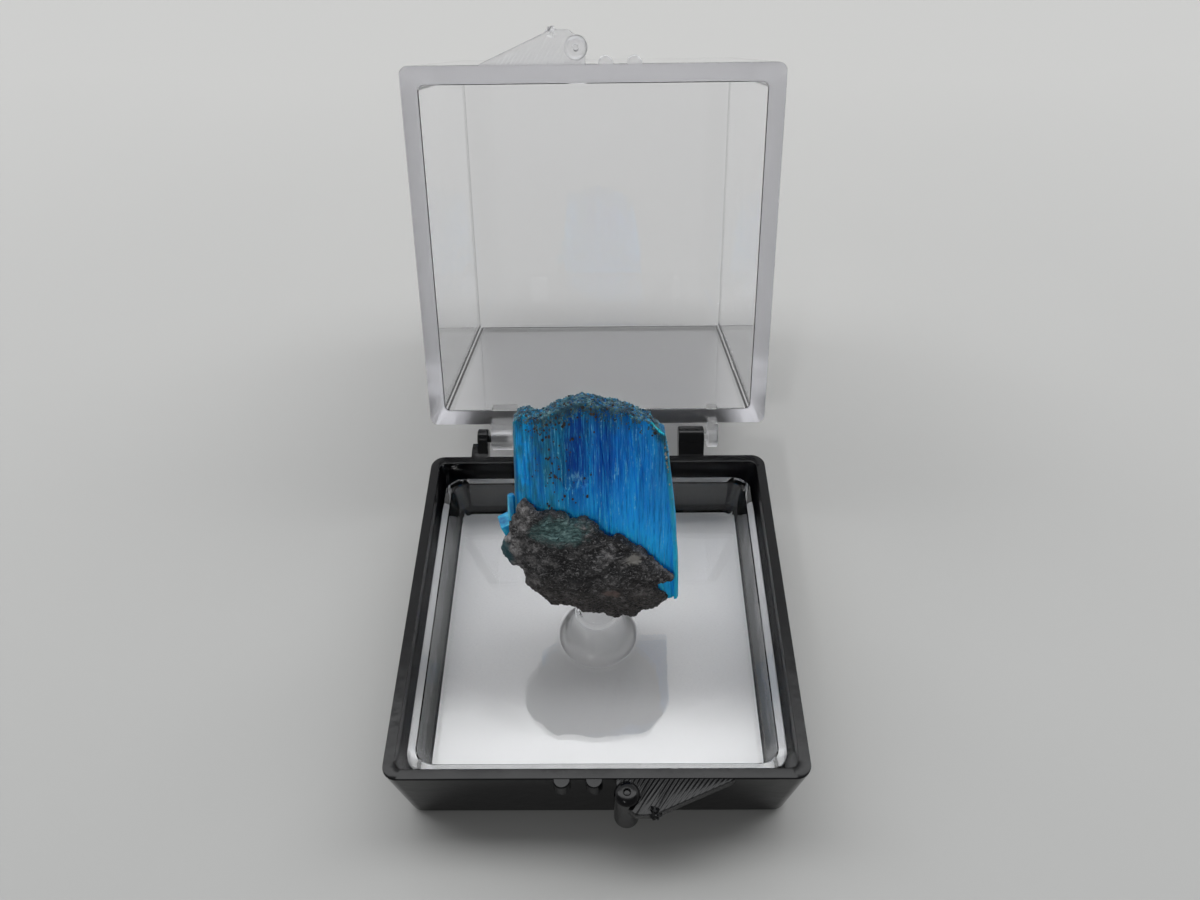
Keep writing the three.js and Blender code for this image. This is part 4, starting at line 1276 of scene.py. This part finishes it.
def side_crystals_shape():
    turn = Euler((0.1, -0.35, 0.25)).to_matrix().to_4x4()
    stump = block((1.7, 1.5, 1.35), on_sight(-6.5, 9.85, 1.4) @ turn, 0.06)
    profile = [(0, -1.4), (0.36, -1.4), (0.28, 0.8), (0.2, 0.87), (0, 0.87)]
    sliver = turned(profile, 6, on_sight(-6.35, 11.8, 0.8))
    shape = fused([stump, sliver])
    bmesh.ops.transform(shape, matrix=SPECIMEN, verts=shape.verts)
    return shape


def side_crystal_finish():
    finish, tree, shader = new_finish("side_crystal")
    cloud = grain(tree, stretched(tree, specimen_place(tree), 1.4, 1.4, 0.7), 1.0, 4)
    tones = [(0.36, (0.002, 0.13, 0.3)), (0.5, (0.008, 0.27, 0.48)), (0.66, (0.05, 0.48, 0.62))]
    tree.links.new(ramp(tree, cloud, tones), shader.inputs["Base Color"])
    shader.inputs["Roughness"].default_value = 0.25
    shader.inputs["IOR"].default_value = CRYSTAL_IOR
    shader.inputs["Specular IOR Level"].default_value = 0.35
    shader.inputs["Subsurface Weight"].default_value = 0.5
    shader.inputs["Subsurface Radius"].default_value = (0.05, 0.6, 1.0)
    shader.inputs["Subsurface Scale"].default_value = 0.001
    return finish


finished("side_crystals", side_crystals_shape(), side_crystal_finish(), "case", (), 20)

# %% [markdown]
# ## Floor
# The box stands on a plain pale surface. One big face is enough for it. Its colour carries painted
# shade: it is a little darker towards the front, as a sheet is that lies further from the light, and
# noise makes the change uneven.

# %% Floor
def floor_with_painted_falloff():
    finish, tree, shader = new_finish("floor")
    place = object_place(tree)
    back = add(tree, "ShaderNodeSeparateXYZ", {"Vector": place}).outputs[1]
    uneven = count(tree, "MULTIPLY", grain(tree, place, 0.02, 4), 30.0)
    # painted shade: the colour darkens towards the front, standing in for light that falls off away from the
    # back
    tone = span(tree, count(tree, "ADD", back, uneven), -15.0, 125.0)
    colour = ramp(tree, tone, [(0, (0.45, 0.45, 0.44)), (1, (0.585, 0.58, 0.565))])
    tree.links.new(colour, shader.inputs["Base Color"])
    shader.inputs["Roughness"].default_value = 0.6
    return finish


floor_shape = bmesh.new()
bmesh.ops.create_grid(floor_shape, x_segments=1, y_segments=1, size=3)
floor_mesh = bpy.data.meshes.new("floor")
floor_shape.to_mesh(floor_mesh)
floor_shape.free()
floor_mesh.materials.append(floor_with_painted_falloff())
floor = bpy.data.objects.new("floor", floor_mesh)
scene.collection.objects.link(floor)
print("floor", tuple(round(side, 1) for side in floor.dimensions), "m")

# %% [markdown]
# ## Light
# The light is a soft tent. It is the world, read by direction: dim in front, pale behind, and one
# broad bright panel overhead that the tray's floor mirrors. The panel is a band in the direction's Y
# and X, faded at its borders. A small soft lamp from the front left lifts the specimen's face.

# %% Light
FRONT_LIGHT = 0.24
BACK_LIGHT = 0.98
PANEL_LIGHT = 3.2
FILL_LIGHT = 0.62
FILL_PLACE = Vector((-0.06, -0.16, 0.15))
FILL_AIM = Vector((0, 0, 0.017))


def band(tree, value, low, high, soft):
    """1 where value lies between low and high, fading over soft at both ends."""
    rise = span(tree, value, low - soft, low + soft, fade="SMOOTHSTEP")
    fall = span(tree, value, high + soft, high - soft, fade="SMOOTHSTEP")
    return count(tree, "MULTIPLY", rise, fall)


def light_tent():
    world = bpy.data.worlds.new("light_tent")
    world.use_nodes = True
    tree = world.node_tree
    tree.nodes.clear()
    way = add(tree, "ShaderNodeTexCoord").outputs["Generated"]
    axes = add(tree, "ShaderNodeSeparateXYZ", {"Vector": way})
    across, back = axes.outputs[0], axes.outputs[1]
    around = span(tree, back, -0.1, 0.5, FRONT_LIGHT, BACK_LIGHT)
    panel = count(tree, "MULTIPLY", band(tree, back, 0.14, 0.44, 0.03), band(tree, across, -0.8, 0.8, 0.1))
    above = span(tree, axes.outputs[2], 0.0, 0.1)
    panel = count(tree, "MULTIPLY", panel, above)
    strength = count(tree, "ADD", around, count(tree, "MULTIPLY", panel, PANEL_LIGHT))
    background = add(tree, "ShaderNodeBackground", {"Color": (0.98, 0.99, 1.0, 1), "Strength": strength})
    output = add(tree, "ShaderNodeOutputWorld")
    tree.links.new(background.outputs[0], output.inputs["Surface"])
    return world


scene.world = light_tent()
fill = bpy.data.lights.new("fill", "SPOT")
fill.energy = FILL_LIGHT
fill.spot_size = math.radians(9.5)
fill.spot_blend = 0.8
fill.shadow_soft_size = 0.012
fill_lamp = bpy.data.objects.new("fill", fill)
facing = (FILL_AIM - FILL_PLACE).to_track_quat("-Z", "Y").to_matrix().to_4x4()
fill_lamp.matrix_world = Matrix.Translation(FILL_PLACE) @ facing
scene.collection.objects.link(fill_lamp)
print("panel", PANEL_LIGHT, "over", BACK_LIGHT, "behind and", FRONT_LIGHT, "in front")

# %% [markdown]
# ## Camera
# The camera was found from the box's own corners: it looks down at about 48 degrees, from in front
# of the box and near it, which gives the strong perspective of a close view.

# %% Camera
CAMERA_PLACE = Vector((1.214, -44.199, 75.49))
CAMERA_RIGHT = Vector((0.99991, 0.00200, -0.01293))
CAMERA_UP = Vector((0.00720, 0.74131, 0.67114))
CAMERA_AHEAD = Vector((-0.01093, 0.67117, -0.74124))
CAMERA_LENS = 28.03

lens = bpy.data.cameras.new("camera")
lens.lens = CAMERA_LENS
lens.sensor_width = 36
lens.clip_start = 0.002
lens.clip_end = 20
camera = bpy.data.objects.new("camera", lens)
axes = Matrix((CAMERA_RIGHT, CAMERA_UP, -CAMERA_AHEAD)).transposed()
camera.matrix_world = Matrix.Translation(CAMERA_PLACE * MM) @ axes.to_4x4()
scene.collection.objects.link(camera)
scene.camera = camera
scene.view_settings.view_transform = "Standard"
print("camera at", tuple(CAMERA_PLACE))
